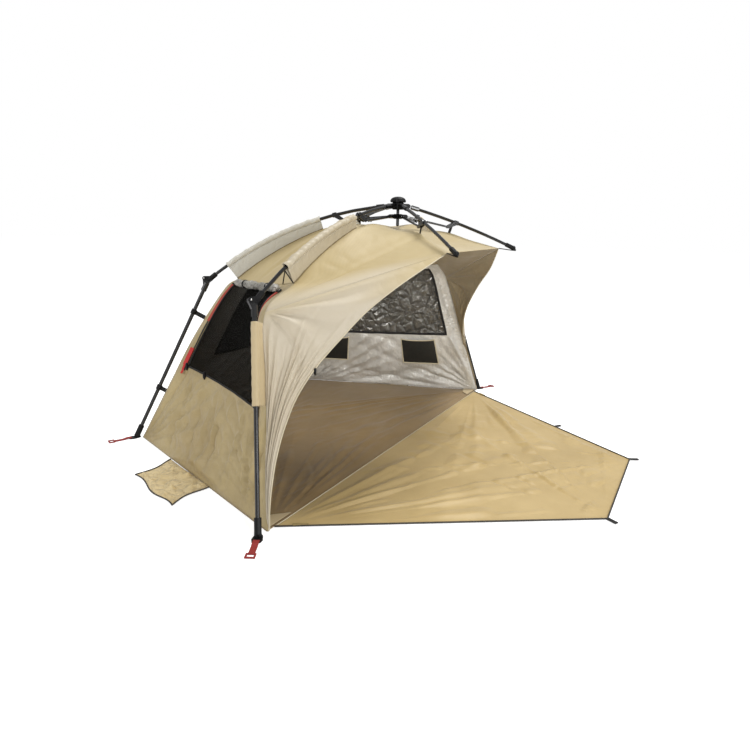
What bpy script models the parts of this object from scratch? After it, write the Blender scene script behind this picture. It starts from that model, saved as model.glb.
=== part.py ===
"""Instant beach tent: an umbrella hub with four folding legs and two awning poles, a sewn
shell with window openings, a ground sheet and an unzipped door laid out in front.

Origin: middle of the ground sheet's underside. +Z up, the open front faces -Y. Metres.
"""
import math

import bmesh
import bpy
import numpy as np
from mathutils import Matrix, Vector

# Driving dimensions: the footprint and the heights
FRONT_WIDTH = 2.40
BACK_WIDTH = 1.474
FLOOR_DEPTH = 1.234
HUB_SETBACK = 0.072
HUB_HEIGHT = 1.222
CROWN_DROP = 0.110

# The arms: plan angle from the side (+X or -X) towards the back, reach and fall to the tip
FRONT_ARM_DEG = 7.0
BACK_ARM_DEG = 60.5
AWNING_ARM_DEG = -50.1
ELBOW_REACH = 0.965
ELBOW_DROP = 0.387
AWNING_REACH = 0.626
AWNING_DROP = 0.198
RIB_BOW = 0.075
BAR_POINTS = 9
AWNING_BOW = 0.012

# Tubes
RIB_RADIUS = 0.008
LEG_RADIUS = 0.0095
AWNING_RADIUS = 0.0075
STRUT_RADIUS = 0.005
TUBE_STEPS = 10
PIN_STEPS = 8

# Fits
GAP = 0.0003
PIN_RADIUS = 0.003
PIN_CLEARANCE = 0.0004
SOCKET_CLEARANCE = 0.0006
OVERRUN = 0.004
WELD = GAP / 30

# Upper hub
HUB_CORE_RADIUS = 0.030
HUB_CORE_HEIGHT = 0.034
HUB_PIVOT_REACH = 0.050
HUB_EAR_RADIUS = 0.0115
TONGUE_THICKNESS = 0.012
EAR_THICKNESS = 0.004
ROOT_EYE_RADIUS = 0.0095
ROOT_START = 0.018
ROOT_LENGTH = 0.040
FERRULE_WALL = 0.0035
CAP_RADIUS = 0.040
CAP_HEIGHT = 0.028
POST_RADIUS = 0.0075
POST_LENGTH = 0.080

# Lower hub and struts
LOWER_DROP = 0.050
LOWER_CORE_RADIUS = 0.022
LOWER_CORE_HEIGHT = 0.024
LOWER_PIVOT_REACH = 0.040
LOWER_EAR_RADIUS = 0.010
STRUT_TONGUE_THICKNESS = 0.011
STRUT_EYE_RADIUS = 0.006
STRUT_NECK = 0.014
NECK_SHARE = 0.75
BRACKET_SHARE = 0.23
AWNING_BRACKET_SHARE = 0.38
BRACKET_DROP = 0.033
BRACKET_EAR_RADIUS = 0.008
BRACKET_EAR_THICKNESS = 0.0035
COLLAR_START = 0.024
COLLAR_LENGTH = 0.022
COLLAR_WALL = 0.0035

# Elbow: the pivot is on the outer side of the bend, so the leg folds out and up
PIVOT_OFFSET = 0.020
ELBOW_EAR_RADIUS = 0.011
ELBOW_EYE_RADIUS = 0.010
SOCKET_WALL = 0.0045
SOCKET_START = 0.012
SOCKET_LENGTH = 0.044
SEAT_DEPTH = 0.018
STOP_INNER = 0.012
STOP_OUTER = 0.004
BLOCK_LENGTH = 0.030
RIVET_RADIUS = 0.0055
RIVET_HEIGHT = 0.0022
STRAIGHT_SHARE = 0.93

# Foot and stake strap
FOOT_WALL = 0.005
FOOT_CUP_LENGTH = 0.062
FOOT_LIFT = 0.012
FOOT_SEAT = 0.018
PLATE_LENGTH = 0.060
PLATE_WIDTH = 0.044
PLATE_THICKNESS = 0.004
PLATE_SHIFT = 0.012
BACK_STRAP_DEG = 24.0
FRONT_STRAP_DEG = -28.0
STRAP_WIDTH = 0.025
STRAP_THICKNESS = 0.002
STRAP_LAP = 0.018
STRAP_RAMP = 0.022
STRAP_RUN = 0.045
RING_LENGTH = 0.030
RING_WIDTH = 0.038
RING_BAR = 0.006
RING_THICKNESS = 0.005

# Awning tip
TIP_LENGTH = 0.045
TIP_WALL = 0.0035
TIP_BALL_RADIUS = 0.013

# Fabric
FABRIC_THICKNESS = 0.0012
NET_THICKNESS = 0.0010
SEAM_TRIM = 0.00042
CORNER_TRIM = 0.0010
SEAM_CLEARANCE = 0.0021
SLEEVE_CLEARANCE = 0.0010
FLOOR_THICKNESS = 0.0020
FRONT_SLEEVE_SHARES = (0.30, 0.79)
BACK_SLEEVE_SHARES = (0.34, 0.87)
SLEEVE_HALF_WIDTH = 0.0135
SLEEVE_CREST = 0.0125
SLEEVE_DEPTH_TOP = 0.050
SLEEVE_DEPTH_END = 0.083
FRONT_INSETS = (0.055, 0.052, 0.052)
BACK_INSETS = (0.115, 0.045, 0.036)
HEM_LIFT = 0.0027
FLOOR_INSET = 0.0
ROOF_SAG = 0.022
ROOF_BELLY_SPAN = 0.6
WALL_SAG = 0.030
AWNING_SAG = 0.020
AWNING_SEAM_SHARES = (0.35, 0.62, 0.88)
AWNING_SEAM_DROPS = (0.063, 0.053, 0.033)
RIM_FADE_SHARE = 0.4
ROOF_ROWS = 9
SECTOR_COLUMNS = 9
WING_ROWS = 15
WING_TOE = 0.030
WING_EDGE_KEYS = (
    (0, 0, 0), (0.22, 0.32, 0.12), (0.36, 0.58, 0.22), (0.46, 0.77, 0.32), (0.56, 0.92, 0.42),
    (0.67, 1.00, 0.52), (0.78, 1.02, 0.62), (0.87, 1.01, 0.72), (0.94, 1.0, 0.82),
    (0.98, 1.0, 0.91), (1, 1, 1),
)
WINDOW_SILL_SHARE = 0.49
WINDOW_TOP_MARGIN = 0.022
WINDOW_SIDE_SHARE = 0.10
BACK_WINDOW_SIDE_SHARE = 0.20
WINDOW_ROWS = 6
WINDOW_COLUMNS = 8
APRON_ROWS = 4
COVER_LAP = 0.020
COVER_STAND_OFF = 0.0030
DOOR_END_WIDTH = 0.72
DOOR_LENGTH = 1.105
DOOR_CORNER_CUT = 0.095
DOOR_NOTCH_WIDTH = 0.065
DOOR_NOTCH_DEPTH = 0.016
FLAP_WIDTH = 0.40
FLAP_DEPTH = 0.28
FLAP_CENTRE_Y = 0.04
FLAP_TAPER_SHARE = 0.15
POCKET_WIDTH = 0.27
POCKET_HEIGHT = 0.18
POCKET_DROP = 0.038
POCKET_MOUTH = 0.022
POCKET_SEAM = 0.0021
POCKET_ROWS = 5
POCKET_COLUMNS = 9
POCKET_REAR_SHARE = 0.84
POCKET_FRONT_SHARE = 0.29
ROLL_RADIUS = 0.019
ROLL_END_SHARE = 0.10
ROLL_DROP = 0.014
ROLL_STAND_OFF = 0.0013
LEG_SLEEVE_START_SHARE = 0.085
LEG_SLEEVE_END_SHARE = 0.45

# Zip sliders on the door's side edges
ZIP_LENGTH = 0.030
ZIP_WIDTH = 0.012
ZIP_HEIGHT = 0.007
ZIP_TAB_LENGTH = 0.040

FRONT_Y = -FLOOR_DEPTH / 2
BACK_Y = FLOOR_DEPTH / 2
HUB_Y = FRONT_Y + HUB_SETBACK
CROWN_HEIGHT = HUB_HEIGHT - CROWN_DROP
LOWER_HEIGHT = HUB_HEIGHT - LOWER_DROP
ELBOW_HEIGHT = HUB_HEIGHT - ELBOW_DROP
AWNING_HEIGHT = HUB_HEIGHT - AWNING_DROP
WINDOW_SILL_HEIGHT = ELBOW_HEIGHT * WINDOW_SILL_SHARE
UP = Vector((0, 0, 1))


def make_material(name, colour, roughness, metallic=0.0):
    """Principled BSDF with the piece's colour, roughness and metallic value."""
    material = bpy.data.materials.new(name)
    material.use_nodes = True
    shader = material.node_tree.nodes["Principled BSDF"]
    shader.inputs["Base Color"].default_value = (*colour, 1.0)
    shader.inputs["Roughness"].default_value = roughness
    shader.inputs["Metallic"].default_value = metallic
    material.diffuse_color = (*colour, 1.0)
    return material


def clear_scene():
    for item in list(bpy.data.objects):
        bpy.data.objects.remove(item, do_unlink=True)


def new_collection(name):
    collection = bpy.data.collections.new(name)
    bpy.context.scene.collection.children.link(collection)
    return collection


def object_from_bmesh(name, bm):
    mesh = bpy.data.meshes.new(name)
    bm.to_mesh(mesh)
    bm.free()
    item = bpy.data.objects.new(name, mesh)
    parts.objects.link(item)
    return item


def settle(item):
    """Replace an object's mesh by what its modifiers make of it."""
    bpy.context.view_layer.update()
    evaluated = item.evaluated_get(bpy.context.evaluated_depsgraph_get())
    mesh = bpy.data.meshes.new_from_object(evaluated)
    item.modifiers.clear()
    item.data = mesh


def combine(item, others, operation):
    """Join others to item, or cut them away, one at a time, and remove them."""
    for other in others:
        modifier = item.modifiers.new(operation.lower(), "BOOLEAN")
        modifier.operation = operation
        modifier.object = other
        settle(item)
        clean(item)
        bpy.data.objects.remove(other, do_unlink=True)
    return item


def clean(item):
    """Merge the near-double points that a Boolean leaves along shared edges."""
    bm = bmesh.new()
    bm.from_mesh(item.data)
    bmesh.ops.remove_doubles(bm, verts=bm.verts, dist=WELD)
    bmesh.ops.dissolve_degenerate(bm, dist=WELD, edges=bm.edges)
    bm.to_mesh(item.data)
    bm.free()


def fuse(item, *others):
    return combine(item, others, "UNION")


def cut(item, *others):
    return combine(item, others, "DIFFERENCE")


def frame_matrix(origin, x_axis, y_axis, z_axis):
    matrix = Matrix((x_axis, y_axis, z_axis)).transposed().to_4x4()
    matrix.translation = origin
    return matrix


def rod(name, start, end, radius, steps=TUBE_STEPS):
    """Straight round bar between two points."""
    start, end = Vector(start), Vector(end)
    bm = bmesh.new()
    bmesh.ops.create_cone(
        bm, cap_ends=True, segments=steps, radius1=radius, radius2=radius,
        depth=(end - start).length,
    )
    turn = (end - start).to_track_quat("Z", "Y").to_matrix().to_4x4()
    bmesh.ops.transform(bm, matrix=Matrix.Translation((start + end) / 2) @ turn, verts=bm.verts)
    return object_from_bmesh(name, bm)


def bent_tube(name, points, radius, resolution=2):
    """Bar along a line of points: a bevelled curve, made a mesh with its caps welded."""
    curve = bpy.data.curves.new(name, "CURVE")
    curve.dimensions = "3D"
    curve.bevel_depth = radius
    curve.bevel_resolution = resolution
    curve.use_fill_caps = True
    spline = curve.splines.new("POLY")
    spline.points.add(len(points) - 1)
    for point, place in zip(spline.points, points):
        point.co = (*place, 1.0)
    guide = bpy.data.objects.new(name + "_path", curve)
    parts.objects.link(guide)
    bpy.context.view_layer.update()
    evaluated = guide.evaluated_get(bpy.context.evaluated_depsgraph_get())
    mesh = bpy.data.meshes.new_from_object(evaluated)
    bpy.data.objects.remove(guide, do_unlink=True)
    bm = bmesh.new()
    bm.from_mesh(mesh)
    bmesh.ops.remove_doubles(bm, verts=bm.verts, dist=GAP / 10)
    bmesh.ops.recalc_face_normals(bm, faces=bm.faces)
    return object_from_bmesh(name, bm)


def plate(name, outline, thickness, matrix, offset=0.0):
    """Flat outline in the matrix's XY plane, given thickness along its Z, centred on offset."""
    bm = bmesh.new()
    low = offset - thickness / 2
    face = bm.faces.new([bm.verts.new((x, y, low)) for x, y in outline])
    grown = bmesh.ops.extrude_face_region(bm, geom=[face])
    lifted = [v for v in grown["geom"] if isinstance(v, bmesh.types.BMVert)]
    bmesh.ops.translate(bm, verts=lifted, vec=(0, 0, thickness))
    bmesh.ops.recalc_face_normals(bm, faces=bm.faces)
    bmesh.ops.transform(bm, matrix=matrix, verts=bm.verts)
    return object_from_bmesh(name, bm)


def link_outline(first, first_radius, second, second_radius, steps=5):
    """Outline round two circles, like a chain link's side plate."""
    first, second = np.array(first, float), np.array(second, float)
    along = second - first
    heading = math.atan2(along[1], along[0])
    lean = math.acos((first_radius - second_radius) / np.linalg.norm(along))
    points = []
    for centre, radius, low, high in (
        (first, first_radius, heading + lean, heading + 2 * math.pi - lean),
        (second, second_radius, heading - lean, heading + lean),
    ):
        for angle in np.linspace(low, high, steps):
            points.append(centre + radius * np.array([math.cos(angle), math.sin(angle)]))
    return [tuple(p) for p in points]


def turned(name, profile, centre, steps=24):
    """Solid of revolution about the vertical through centre. Profile: (radius, height) pairs,
    from the axis at the top, down the outer side, to the axis at the bottom."""
    mesh = bpy.data.meshes.new(name)
    edges = [(i, i + 1) for i in range(len(profile) - 1)]
    mesh.from_pydata([(r, 0, z) for r, z in profile], edges, [])
    item = bpy.data.objects.new(name, mesh)
    parts.objects.link(item)
    item.location = centre
    screw = item.modifiers.new("turn", "SCREW")
    screw.steps = steps
    screw.render_steps = steps
    screw.use_merge_vertices = True
    screw.merge_threshold = GAP / 10
    settle(item)
    item.data.transform(item.matrix_world)
    item.location = (0, 0, 0)
    return item


def finish(item, name, material, pivot=None, smooth_deg=35):
    """Name the piece, give it its material, and put its origin on its pivot."""
    item.name = name
    item.data.name = name
    item.data.materials.clear()
    item.data.materials.append(material)
    item.data.shade_smooth()
    item.data.set_sharp_from_angle(angle=math.radians(smooth_deg))
    if pivot is not None:
        item.data.transform(Matrix.Translation(-Vector(pivot)))
        item.location = pivot
    return item


class Arm:
    """One arm of the hub, in the vertical plane through the hub's axis at its plan angle."""

    def __init__(self, name, side, plan_deg, reach, height, bow, radius, bracket_share):
        self.name = name
        self.side = side
        angle = math.radians(plan_deg)
        self.out = Vector((side * math.cos(angle), math.sin(angle), 0))
        self.across = UP.cross(self.out)
        self.axis_point = Vector((0, HUB_Y, 0))
        self.pivot = self.at(HUB_PIVOT_REACH, HUB_HEIGHT)
        self.tip = self.at(reach, height)
        self.bow = bow
        self.radius = radius
        self.bracket_share = bracket_share
        self.lower_pivot = self.at(LOWER_PIVOT_REACH, LOWER_HEIGHT)
        self.strut_end = self.below(bracket_share, BRACKET_DROP)

    def at(self, reach, height):
        return self.axis_point + self.out * reach + UP * height

    def on_arc(self, share):
        """Point on the bowed centre line, from the pivot (0) to the tip (1)."""
        chord = self.tip - self.pivot
        normal = self.across.cross(chord).normalized()
        normal = normal if normal.z > 0 else -normal
        return self.pivot + chord * share + normal * (4 * self.bow * share * (1 - share))

    def tangent(self, share, step=1e-3):
        return (self.on_arc(share + step) - self.on_arc(share - step)).normalized()

    def normal(self, share):
        """Unit vector in the arm's plane, square to the centre line, pointing up and out."""
        normal = self.tangent(share).cross(self.across)
        return normal if normal.z > 0 else -normal

    def below(self, share, drop):
        return self.on_arc(share) - self.normal(share) * drop

    def plane(self, origin, along):
        """Matrix whose X runs along, Y is square to it in the arm's plane, Z is across."""
        up = along.cross(self.across)
        up = up if up.z > 0 else -up
        return frame_matrix(origin, along, up, along.cross(up))


def build_arms():
    rows = (
        ("front_left", -1, FRONT_ARM_DEG), ("back_left", -1, BACK_ARM_DEG),
        ("back_right", 1, BACK_ARM_DEG), ("front_right", 1, FRONT_ARM_DEG),
    )
    ribs = [
        Arm(name, side, deg, ELBOW_REACH, ELBOW_HEIGHT, RIB_BOW, RIB_RADIUS, BRACKET_SHARE)
        for name, side, deg in rows
    ]
    for rib in ribs:
        at_front = rib.name.startswith("front")
        width = FRONT_WIDTH if at_front else BACK_WIDTH
        rib.foot = Vector((rib.side * width / 2, FRONT_Y if at_front else BACK_Y, 0))
        rib.end_heading = (rib.tip - rib.on_arc(STRAIGHT_SHARE)).normalized()
        rib.leg_heading = (rib.foot - rib.tip).normalized()
        rib.strap_deg = FRONT_STRAP_DEG if at_front else BACK_STRAP_DEG
        rib.sleeve_shares = FRONT_SLEEVE_SHARES if at_front else BACK_SLEEVE_SHARES
        rib.insets = FRONT_INSETS if at_front else BACK_INSETS
    awning = [
        Arm(name, side, AWNING_ARM_DEG, AWNING_REACH, AWNING_HEIGHT, AWNING_BOW,
            AWNING_RADIUS, AWNING_BRACKET_SHARE)
        for name, side in (("awning_right", 1), ("awning_left", -1))
    ]
    return ribs, awning


def pin(name, centre, axis, half_length, radius=PIN_RADIUS, steps=PIN_STEPS):
    return rod(name, centre - axis * half_length, centre + axis * half_length, radius, steps)


def ears(arm, centre, core_reach, height, ear_radius, gap, thickness):
    """Two side plates and a pin that hold a tongue at the end of an arm or strut."""
    plane = frame_matrix(arm.at(0, height), arm.out, UP, arm.out.cross(UP))
    reach = (centre - arm.axis_point).dot(arm.out)
    outline = link_outline((core_reach, 0), ear_radius, (reach, 0), ear_radius)
    offset = (gap + thickness) / 2
    pair = [plate("ear", outline, thickness, plane, offset * way) for way in (-1, 1)]
    return pair + [pin("ear_pin", centre, arm.across, gap / 2 + thickness)]


def hub_core_profile(radius, height, rim):
    half = height / 2
    return [
        (0, half), (radius - rim, half), (radius, half - rim),
        (radius, rim - half), (radius - rim, -half), (0, -half),
    ]


def make_hub(arms, plastic, steel):
    rim = HUB_CORE_HEIGHT / 8
    crown = turned("crown", hub_core_profile(HUB_CORE_RADIUS, HUB_CORE_HEIGHT, rim),
                   (0, HUB_Y, HUB_HEIGHT))
    gap = TONGUE_THICKNESS + 2 * GAP
    pieces = []
    for arm in arms:
        pieces += ears(arm, arm.pivot, HUB_CORE_RADIUS - EAR_THICKNESS, HUB_HEIGHT,
                       HUB_EAR_RADIUS, gap, EAR_THICKNESS)
    fuse(crown, *pieces)
    finish(crown, "hub_crown", plastic)

    top = HUB_HEIGHT + HUB_CORE_HEIGHT / 2 + GAP
    shoulder = CAP_HEIGHT / 4
    dome = [(0, CAP_HEIGHT)]
    for share in np.linspace(0.2, 1.0, 6):
        rise = shoulder + (CAP_HEIGHT - shoulder) * math.sqrt(max(0.0, 1 - share ** 2))
        dome.append((CAP_RADIUS * share, rise))
    dome += [(CAP_RADIUS - shoulder / 2, 0), (0, 0)]
    cap = turned("cap", dome, (0, HUB_Y, top))
    scallops = []
    for arm, following in zip(arms, arms[1:] + arms[:1]):
        between = (arm.out + following.out).normalized()
        spot = Vector((0, HUB_Y, top)) + between * (CAP_RADIUS + shoulder)
        scallops.append(rod("scallop", spot - UP * OVERRUN, spot + UP * (CAP_HEIGHT + OVERRUN),
                            CAP_RADIUS / 3, 20))
    cut(cap, *scallops)
    finish(cap, "hub_cap", plastic)

    post_top = HUB_HEIGHT - HUB_CORE_HEIGHT / 2 - GAP
    tip_cut = POST_RADIUS / 2
    post = turned("post", [
        (0, 0), (POST_RADIUS, 0), (POST_RADIUS, tip_cut - POST_LENGTH),
        (POST_RADIUS - tip_cut, -POST_LENGTH), (0, -POST_LENGTH),
    ], (0, HUB_Y, post_top), 16)
    finish(post, "hub_post", steel)


def make_lower_hub(arms, plastic):
    rim = LOWER_CORE_HEIGHT / 8
    centre = Vector((0, HUB_Y, LOWER_HEIGHT))
    body = turned("lower", hub_core_profile(LOWER_CORE_RADIUS, LOWER_CORE_HEIGHT, rim), centre)
    gap = STRUT_TONGUE_THICKNESS + 2 * GAP
    pieces = []
    for arm in arms:
        pieces += ears(arm, arm.lower_pivot, LOWER_CORE_RADIUS - BRACKET_EAR_THICKNESS,
                       LOWER_HEIGHT, LOWER_EAR_RADIUS, gap, BRACKET_EAR_THICKNESS)
    fuse(body, *pieces)
    reach = UP * (LOWER_CORE_HEIGHT / 2 + OVERRUN)
    cut(body, rod("bore", centre - reach, centre + reach, POST_RADIUS + SOCKET_CLEARANCE))
    finish(body, "lower_hub", plastic, centre)


def tongue(arm, name, pivot, along, eye_radius, length, end_radius, thickness):
    """Flat eye on a pin, reaching along to where the tube takes over."""
    plane = arm.plane(pivot, along)
    outline = link_outline((0, 0), eye_radius, (length, 0), end_radius)
    return plate(name, outline, thickness, plane)


def eye_cutter(arm, pivot, thickness):
    return pin("eye", pivot, arm.across, thickness / 2 + OVERRUN, PIN_RADIUS + PIN_CLEARANCE)


def make_bar(arm, end_point, points_to_end):
    """Rib or awning pole: eye at the hub, bowed tube, and the bracket that takes the strut."""
    start = arm.tangent(0.01)
    tube_start = arm.pivot + start * ROOT_START
    shares = np.linspace(0.06, points_to_end, BAR_POINTS)
    arm.bar_line = [arm.on_arc(share) for share in shares]
    points = [tube_start] + arm.bar_line + [end_point]
    bar = bent_tube("bar", points, arm.radius)
    root = tongue(arm, "root", arm.pivot, start, ROOT_EYE_RADIUS, ROOT_START + OVERRUN,
                  arm.radius, TONGUE_THICKNESS)
    ferrule = rod("ferrule", tube_start, tube_start + start * ROOT_LENGTH,
                  arm.radius + FERRULE_WALL)
    share = arm.bracket_share
    middle = arm.on_arc(share)
    along = arm.tangent(share)
    collar = rod("collar", middle + along * COLLAR_START,
                 middle + along * (COLLAR_START + COLLAR_LENGTH), arm.radius + COLLAR_WALL)
    plane = arm.plane(middle, along)
    collar_middle = COLLAR_START + COLLAR_LENGTH / 2
    outline = link_outline((0, -BRACKET_DROP), BRACKET_EAR_RADIUS, (collar_middle, 0),
                           arm.radius + COLLAR_WALL)
    spread = (STRUT_TONGUE_THICKNESS + 2 * GAP + BRACKET_EAR_THICKNESS) / 2
    sides = [plate("side", outline, BRACKET_EAR_THICKNESS, plane, spread * way) for way in (-1, 1)]
    fuse(bar, root, ferrule, collar, *sides)
    cut(bar, eye_cutter(arm, arm.pivot, TONGUE_THICKNESS))
    return bar


def make_strut(arm, material):
    """Short rod from the lower hub to the bracket on the arm."""
    along = (arm.strut_end - arm.lower_pivot).normalized()
    body = rod("strut", arm.lower_pivot + along * STRUT_NECK,
               arm.strut_end - along * STRUT_NECK, STRUT_RADIUS, TUBE_STEPS)
    inner = tongue(arm, "inner", arm.lower_pivot, along, LOWER_EAR_RADIUS - STRUT_EYE_RADIUS / 4,
                   STRUT_NECK + OVERRUN, STRUT_RADIUS * NECK_SHARE, STRUT_TONGUE_THICKNESS)
    outer = tongue(arm, "outer", arm.strut_end, -along, STRUT_EYE_RADIUS,
                   STRUT_NECK + OVERRUN, STRUT_RADIUS * NECK_SHARE,
                   STRUT_TONGUE_THICKNESS - 2 * GAP)
    fuse(body, inner, outer)
    cut(body, eye_cutter(arm, arm.lower_pivot, STRUT_TONGUE_THICKNESS))
    finish(body, "strut_" + arm.name, material, arm.lower_pivot)


def elbow_frame(rib):
    """Axes at the elbow: X to the outer side of the bend, Y on through it, Z across."""
    outer = (rib.end_heading - rib.leg_heading).normalized()
    onward = (rib.end_heading + rib.leg_heading).normalized()
    return outer, onward, outer.cross(onward)


def make_elbow(rib, plastic):
    """Fork on the rib's end: a socket, two ears with a rivet, and the stop between them."""
    outer, onward, across = elbow_frame(rib)
    plane = frame_matrix(rib.tip, outer, onward, across)
    socket_radius = rib.radius + SOCKET_WALL
    start = rib.tip - rib.end_heading * (SOCKET_START + SOCKET_LENGTH)
    fork = rod("fork", start, rib.tip - rib.end_heading * SOCKET_START, socket_radius)
    back = plane.inverted() @ (rib.tip - rib.end_heading * (SOCKET_START + OVERRUN * 2))
    outline = link_outline((PIVOT_OFFSET, 0), ELBOW_EAR_RADIUS, (back.x, back.y), SOCKET_START)
    spread = (TONGUE_THICKNESS + 2 * GAP + EAR_THICKNESS) / 2
    sides = [plate("side", outline, EAR_THICKNESS, plane, spread * way) for way in (-1, 1)]
    step = -(plane.to_3x3().inverted() @ rib.end_heading) * BLOCK_LENGTH * 2 / 3
    stop = [(-STOP_INNER, -GAP / 2), (STOP_OUTER, -GAP / 2),
            (STOP_OUTER + step.x, step.y), (-STOP_INNER + step.x, step.y)]
    web = plate("web", stop, TONGUE_THICKNESS + EAR_THICKNESS, plane)
    pivot = rib.tip + outer * PIVOT_OFFSET
    half = TONGUE_THICKNESS / 2 + GAP + EAR_THICKNESS
    rivet = pin("rivet", pivot, across, half + RIVET_HEIGHT / 2)
    heads = [
        rod("head", pivot + across * way * (half - RIVET_HEIGHT / 2),
            pivot + across * way * (half + RIVET_HEIGHT), RIVET_RADIUS)
        for way in (-1, 1)
    ]
    fuse(fork, *sides, web, rivet, *heads)
    seat = rib.tip - rib.end_heading * (SEAT_DEPTH - GAP)
    bore = rod("bore", start - rib.end_heading * OVERRUN, seat, rib.radius + SOCKET_CLEARANCE)
    cut(fork, bore)
    finish(fork, "elbow_fork_" + rib.name, plastic, rib.pivot)


def make_leg(rib, steel):
    """Leg tube with the knuckle that turns on the elbow's rivet."""
    outer, onward, across = elbow_frame(rib)
    plane = frame_matrix(rib.tip, outer, onward, across)
    pivot = rib.tip + outer * PIVOT_OFFSET
    end = rib.foot - rib.leg_heading * (FOOT_LIFT + FOOT_SEAT)
    leg = rod("leg", rib.tip + rib.leg_heading * SOCKET_START * 2, end, LEG_RADIUS)
    knuckle = rod("knuckle", rib.tip + rib.leg_heading * SOCKET_START,
                  rib.tip + rib.leg_heading * (SOCKET_START + SOCKET_LENGTH),
                  LEG_RADIUS + SOCKET_WALL)
    step = (plane.to_3x3().inverted() @ rib.leg_heading) * BLOCK_LENGTH
    block = [(-STOP_INNER, GAP / 2), (STOP_INNER, GAP / 2),
             (STOP_INNER + step.x, step.y), (-STOP_INNER + step.x, step.y)]
    bar = plate("bar", block, TONGUE_THICKNESS, plane)
    eye = plate("eye", link_outline((PIVOT_OFFSET, 0), ELBOW_EYE_RADIUS, (step.x, step.y),
                                    ELBOW_EYE_RADIUS), TONGUE_THICKNESS, plane)
    fuse(leg, knuckle, bar, eye)
    cut(leg, pin("hole", pivot, across, TONGUE_THICKNESS, PIN_RADIUS + PIN_CLEARANCE))
    finish(leg, "leg_" + rib.name, steel, pivot)


def strap_frame(rib):
    angle = math.radians(rib.strap_deg)
    along = Vector((rib.side * math.cos(angle), math.sin(angle), 0))
    return along, UP.cross(along)


def make_foot(rib, plastic, webbing):
    """Moulded foot on the leg's end, and the strap that takes a stake."""
    outer, onward, across = elbow_frame(rib)
    hinge = rib.tip + outer * PIVOT_OFFSET
    heading = rib.leg_heading
    cup_radius = LEG_RADIUS + FOOT_WALL
    low = rib.foot - heading * FOOT_LIFT
    cup = rod("cup", low - heading * FOOT_CUP_LENGTH, low, cup_radius)
    along, sideways = strap_frame(rib)
    plane = frame_matrix(rib.foot, along, sideways, along.cross(sideways))
    half = PLATE_WIDTH / 2
    inner = (PLATE_SHIFT - PLATE_LENGTH / 2 + half / 2, 0)
    outer_end = (PLATE_SHIFT + PLATE_LENGTH / 2 - half, 0)
    base = plate("base", link_outline(inner, half * 0.8, outer_end, half), PLATE_THICKNESS, plane,
                 PLATE_THICKNESS / 2)
    spot = low.copy()
    spot.z = 0
    neck = rod("neck", spot + UP * PLATE_THICKNESS / 4, spot + UP * (low.z + cup_radius / 2),
               cup_radius)
    fuse(cup, base, neck)
    seat = low - heading * (FOOT_SEAT - GAP)
    cut(cup, rod("bore", low - heading * (FOOT_CUP_LENGTH + OVERRUN), seat,
                 LEG_RADIUS + SOCKET_CLEARANCE))
    finish(cup, "foot_" + rib.name, plastic, hinge)

    plate_end = PLATE_SHIFT + PLATE_LENGTH / 2
    top = PLATE_THICKNESS + GAP
    lap = plate_end - STRAP_LAP
    ground = plate_end + STRAP_RAMP
    end = ground + STRAP_RUN
    side_view = [
        (lap, top), (plate_end + GAP, top), (ground, 0), (end + RING_BAR / 2, 0),
        (end + RING_BAR / 2, STRAP_THICKNESS), (ground + STRAP_THICKNESS, STRAP_THICKNESS),
        (plate_end + 2 * STRAP_THICKNESS, top + STRAP_THICKNESS), (lap, top + STRAP_THICKNESS),
    ]
    standing = frame_matrix(rib.foot, along, UP, along.cross(UP))
    strap = plate("strap", side_view, STRAP_WIDTH, standing)
    box = [(end, -RING_WIDTH / 2), (end + RING_LENGTH, -RING_WIDTH / 2),
           (end + RING_LENGTH, RING_WIDTH / 2), (end, RING_WIDTH / 2)]
    hole = [(end + RING_BAR, RING_BAR - RING_WIDTH / 2),
            (end + RING_LENGTH - RING_BAR, RING_BAR - RING_WIDTH / 2),
            (end + RING_LENGTH - RING_BAR, RING_WIDTH / 2 - RING_BAR),
            (end + RING_BAR, RING_WIDTH / 2 - RING_BAR)]
    ring = plate("ring", box, RING_THICKNESS, plane, RING_THICKNESS / 2)
    cut(ring, plate("hole", hole, RING_THICKNESS * 3, plane, RING_THICKNESS / 2))
    fuse(strap, ring)
    finish(strap, "stake_strap_" + rib.name, webbing, hinge)


def make_awning_tip(arm, plastic):
    heading = arm.tangent(0.99)
    start = arm.tip - heading * TIP_LENGTH
    tip = rod("tip", start, arm.tip, arm.radius + TIP_WALL)
    bm = bmesh.new()
    bmesh.ops.create_uvsphere(bm, u_segments=16, v_segments=8, radius=TIP_BALL_RADIUS)
    bmesh.ops.translate(bm, verts=bm.verts, vec=arm.tip)
    fuse(tip, object_from_bmesh("ball", bm))
    seat = arm.tip - heading * (TIP_LENGTH / 3 - GAP)
    cut(tip, rod("bore", start - heading * OVERRUN, seat, arm.radius + SOCKET_CLEARANCE))
    finish(tip, "tip_" + arm.name, plastic, arm.pivot)


def loft(name, rings):
    """Closed skin through rings of points, with a flat face on each end."""
    rings = np.asarray(rings, float)
    count, around, _ = rings.shape
    index = np.arange(count * around).reshape(count, around)
    near, far = index[:-1], index[1:]
    quads = np.stack([near, np.roll(near, -1, 1), np.roll(far, -1, 1), far], -1).reshape(-1, 4)
    mesh = bpy.data.meshes.new(name)
    faces = quads.tolist() + [index[0][::-1].tolist(), index[-1].tolist()]
    mesh.from_pydata(rings.reshape(-1, 3).tolist(), [], faces)
    bm = bmesh.new()
    bm.from_mesh(mesh)
    bmesh.ops.recalc_face_normals(bm, faces=bm.faces)
    bpy.data.meshes.remove(mesh)
    return object_from_bmesh(name, bm)


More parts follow.
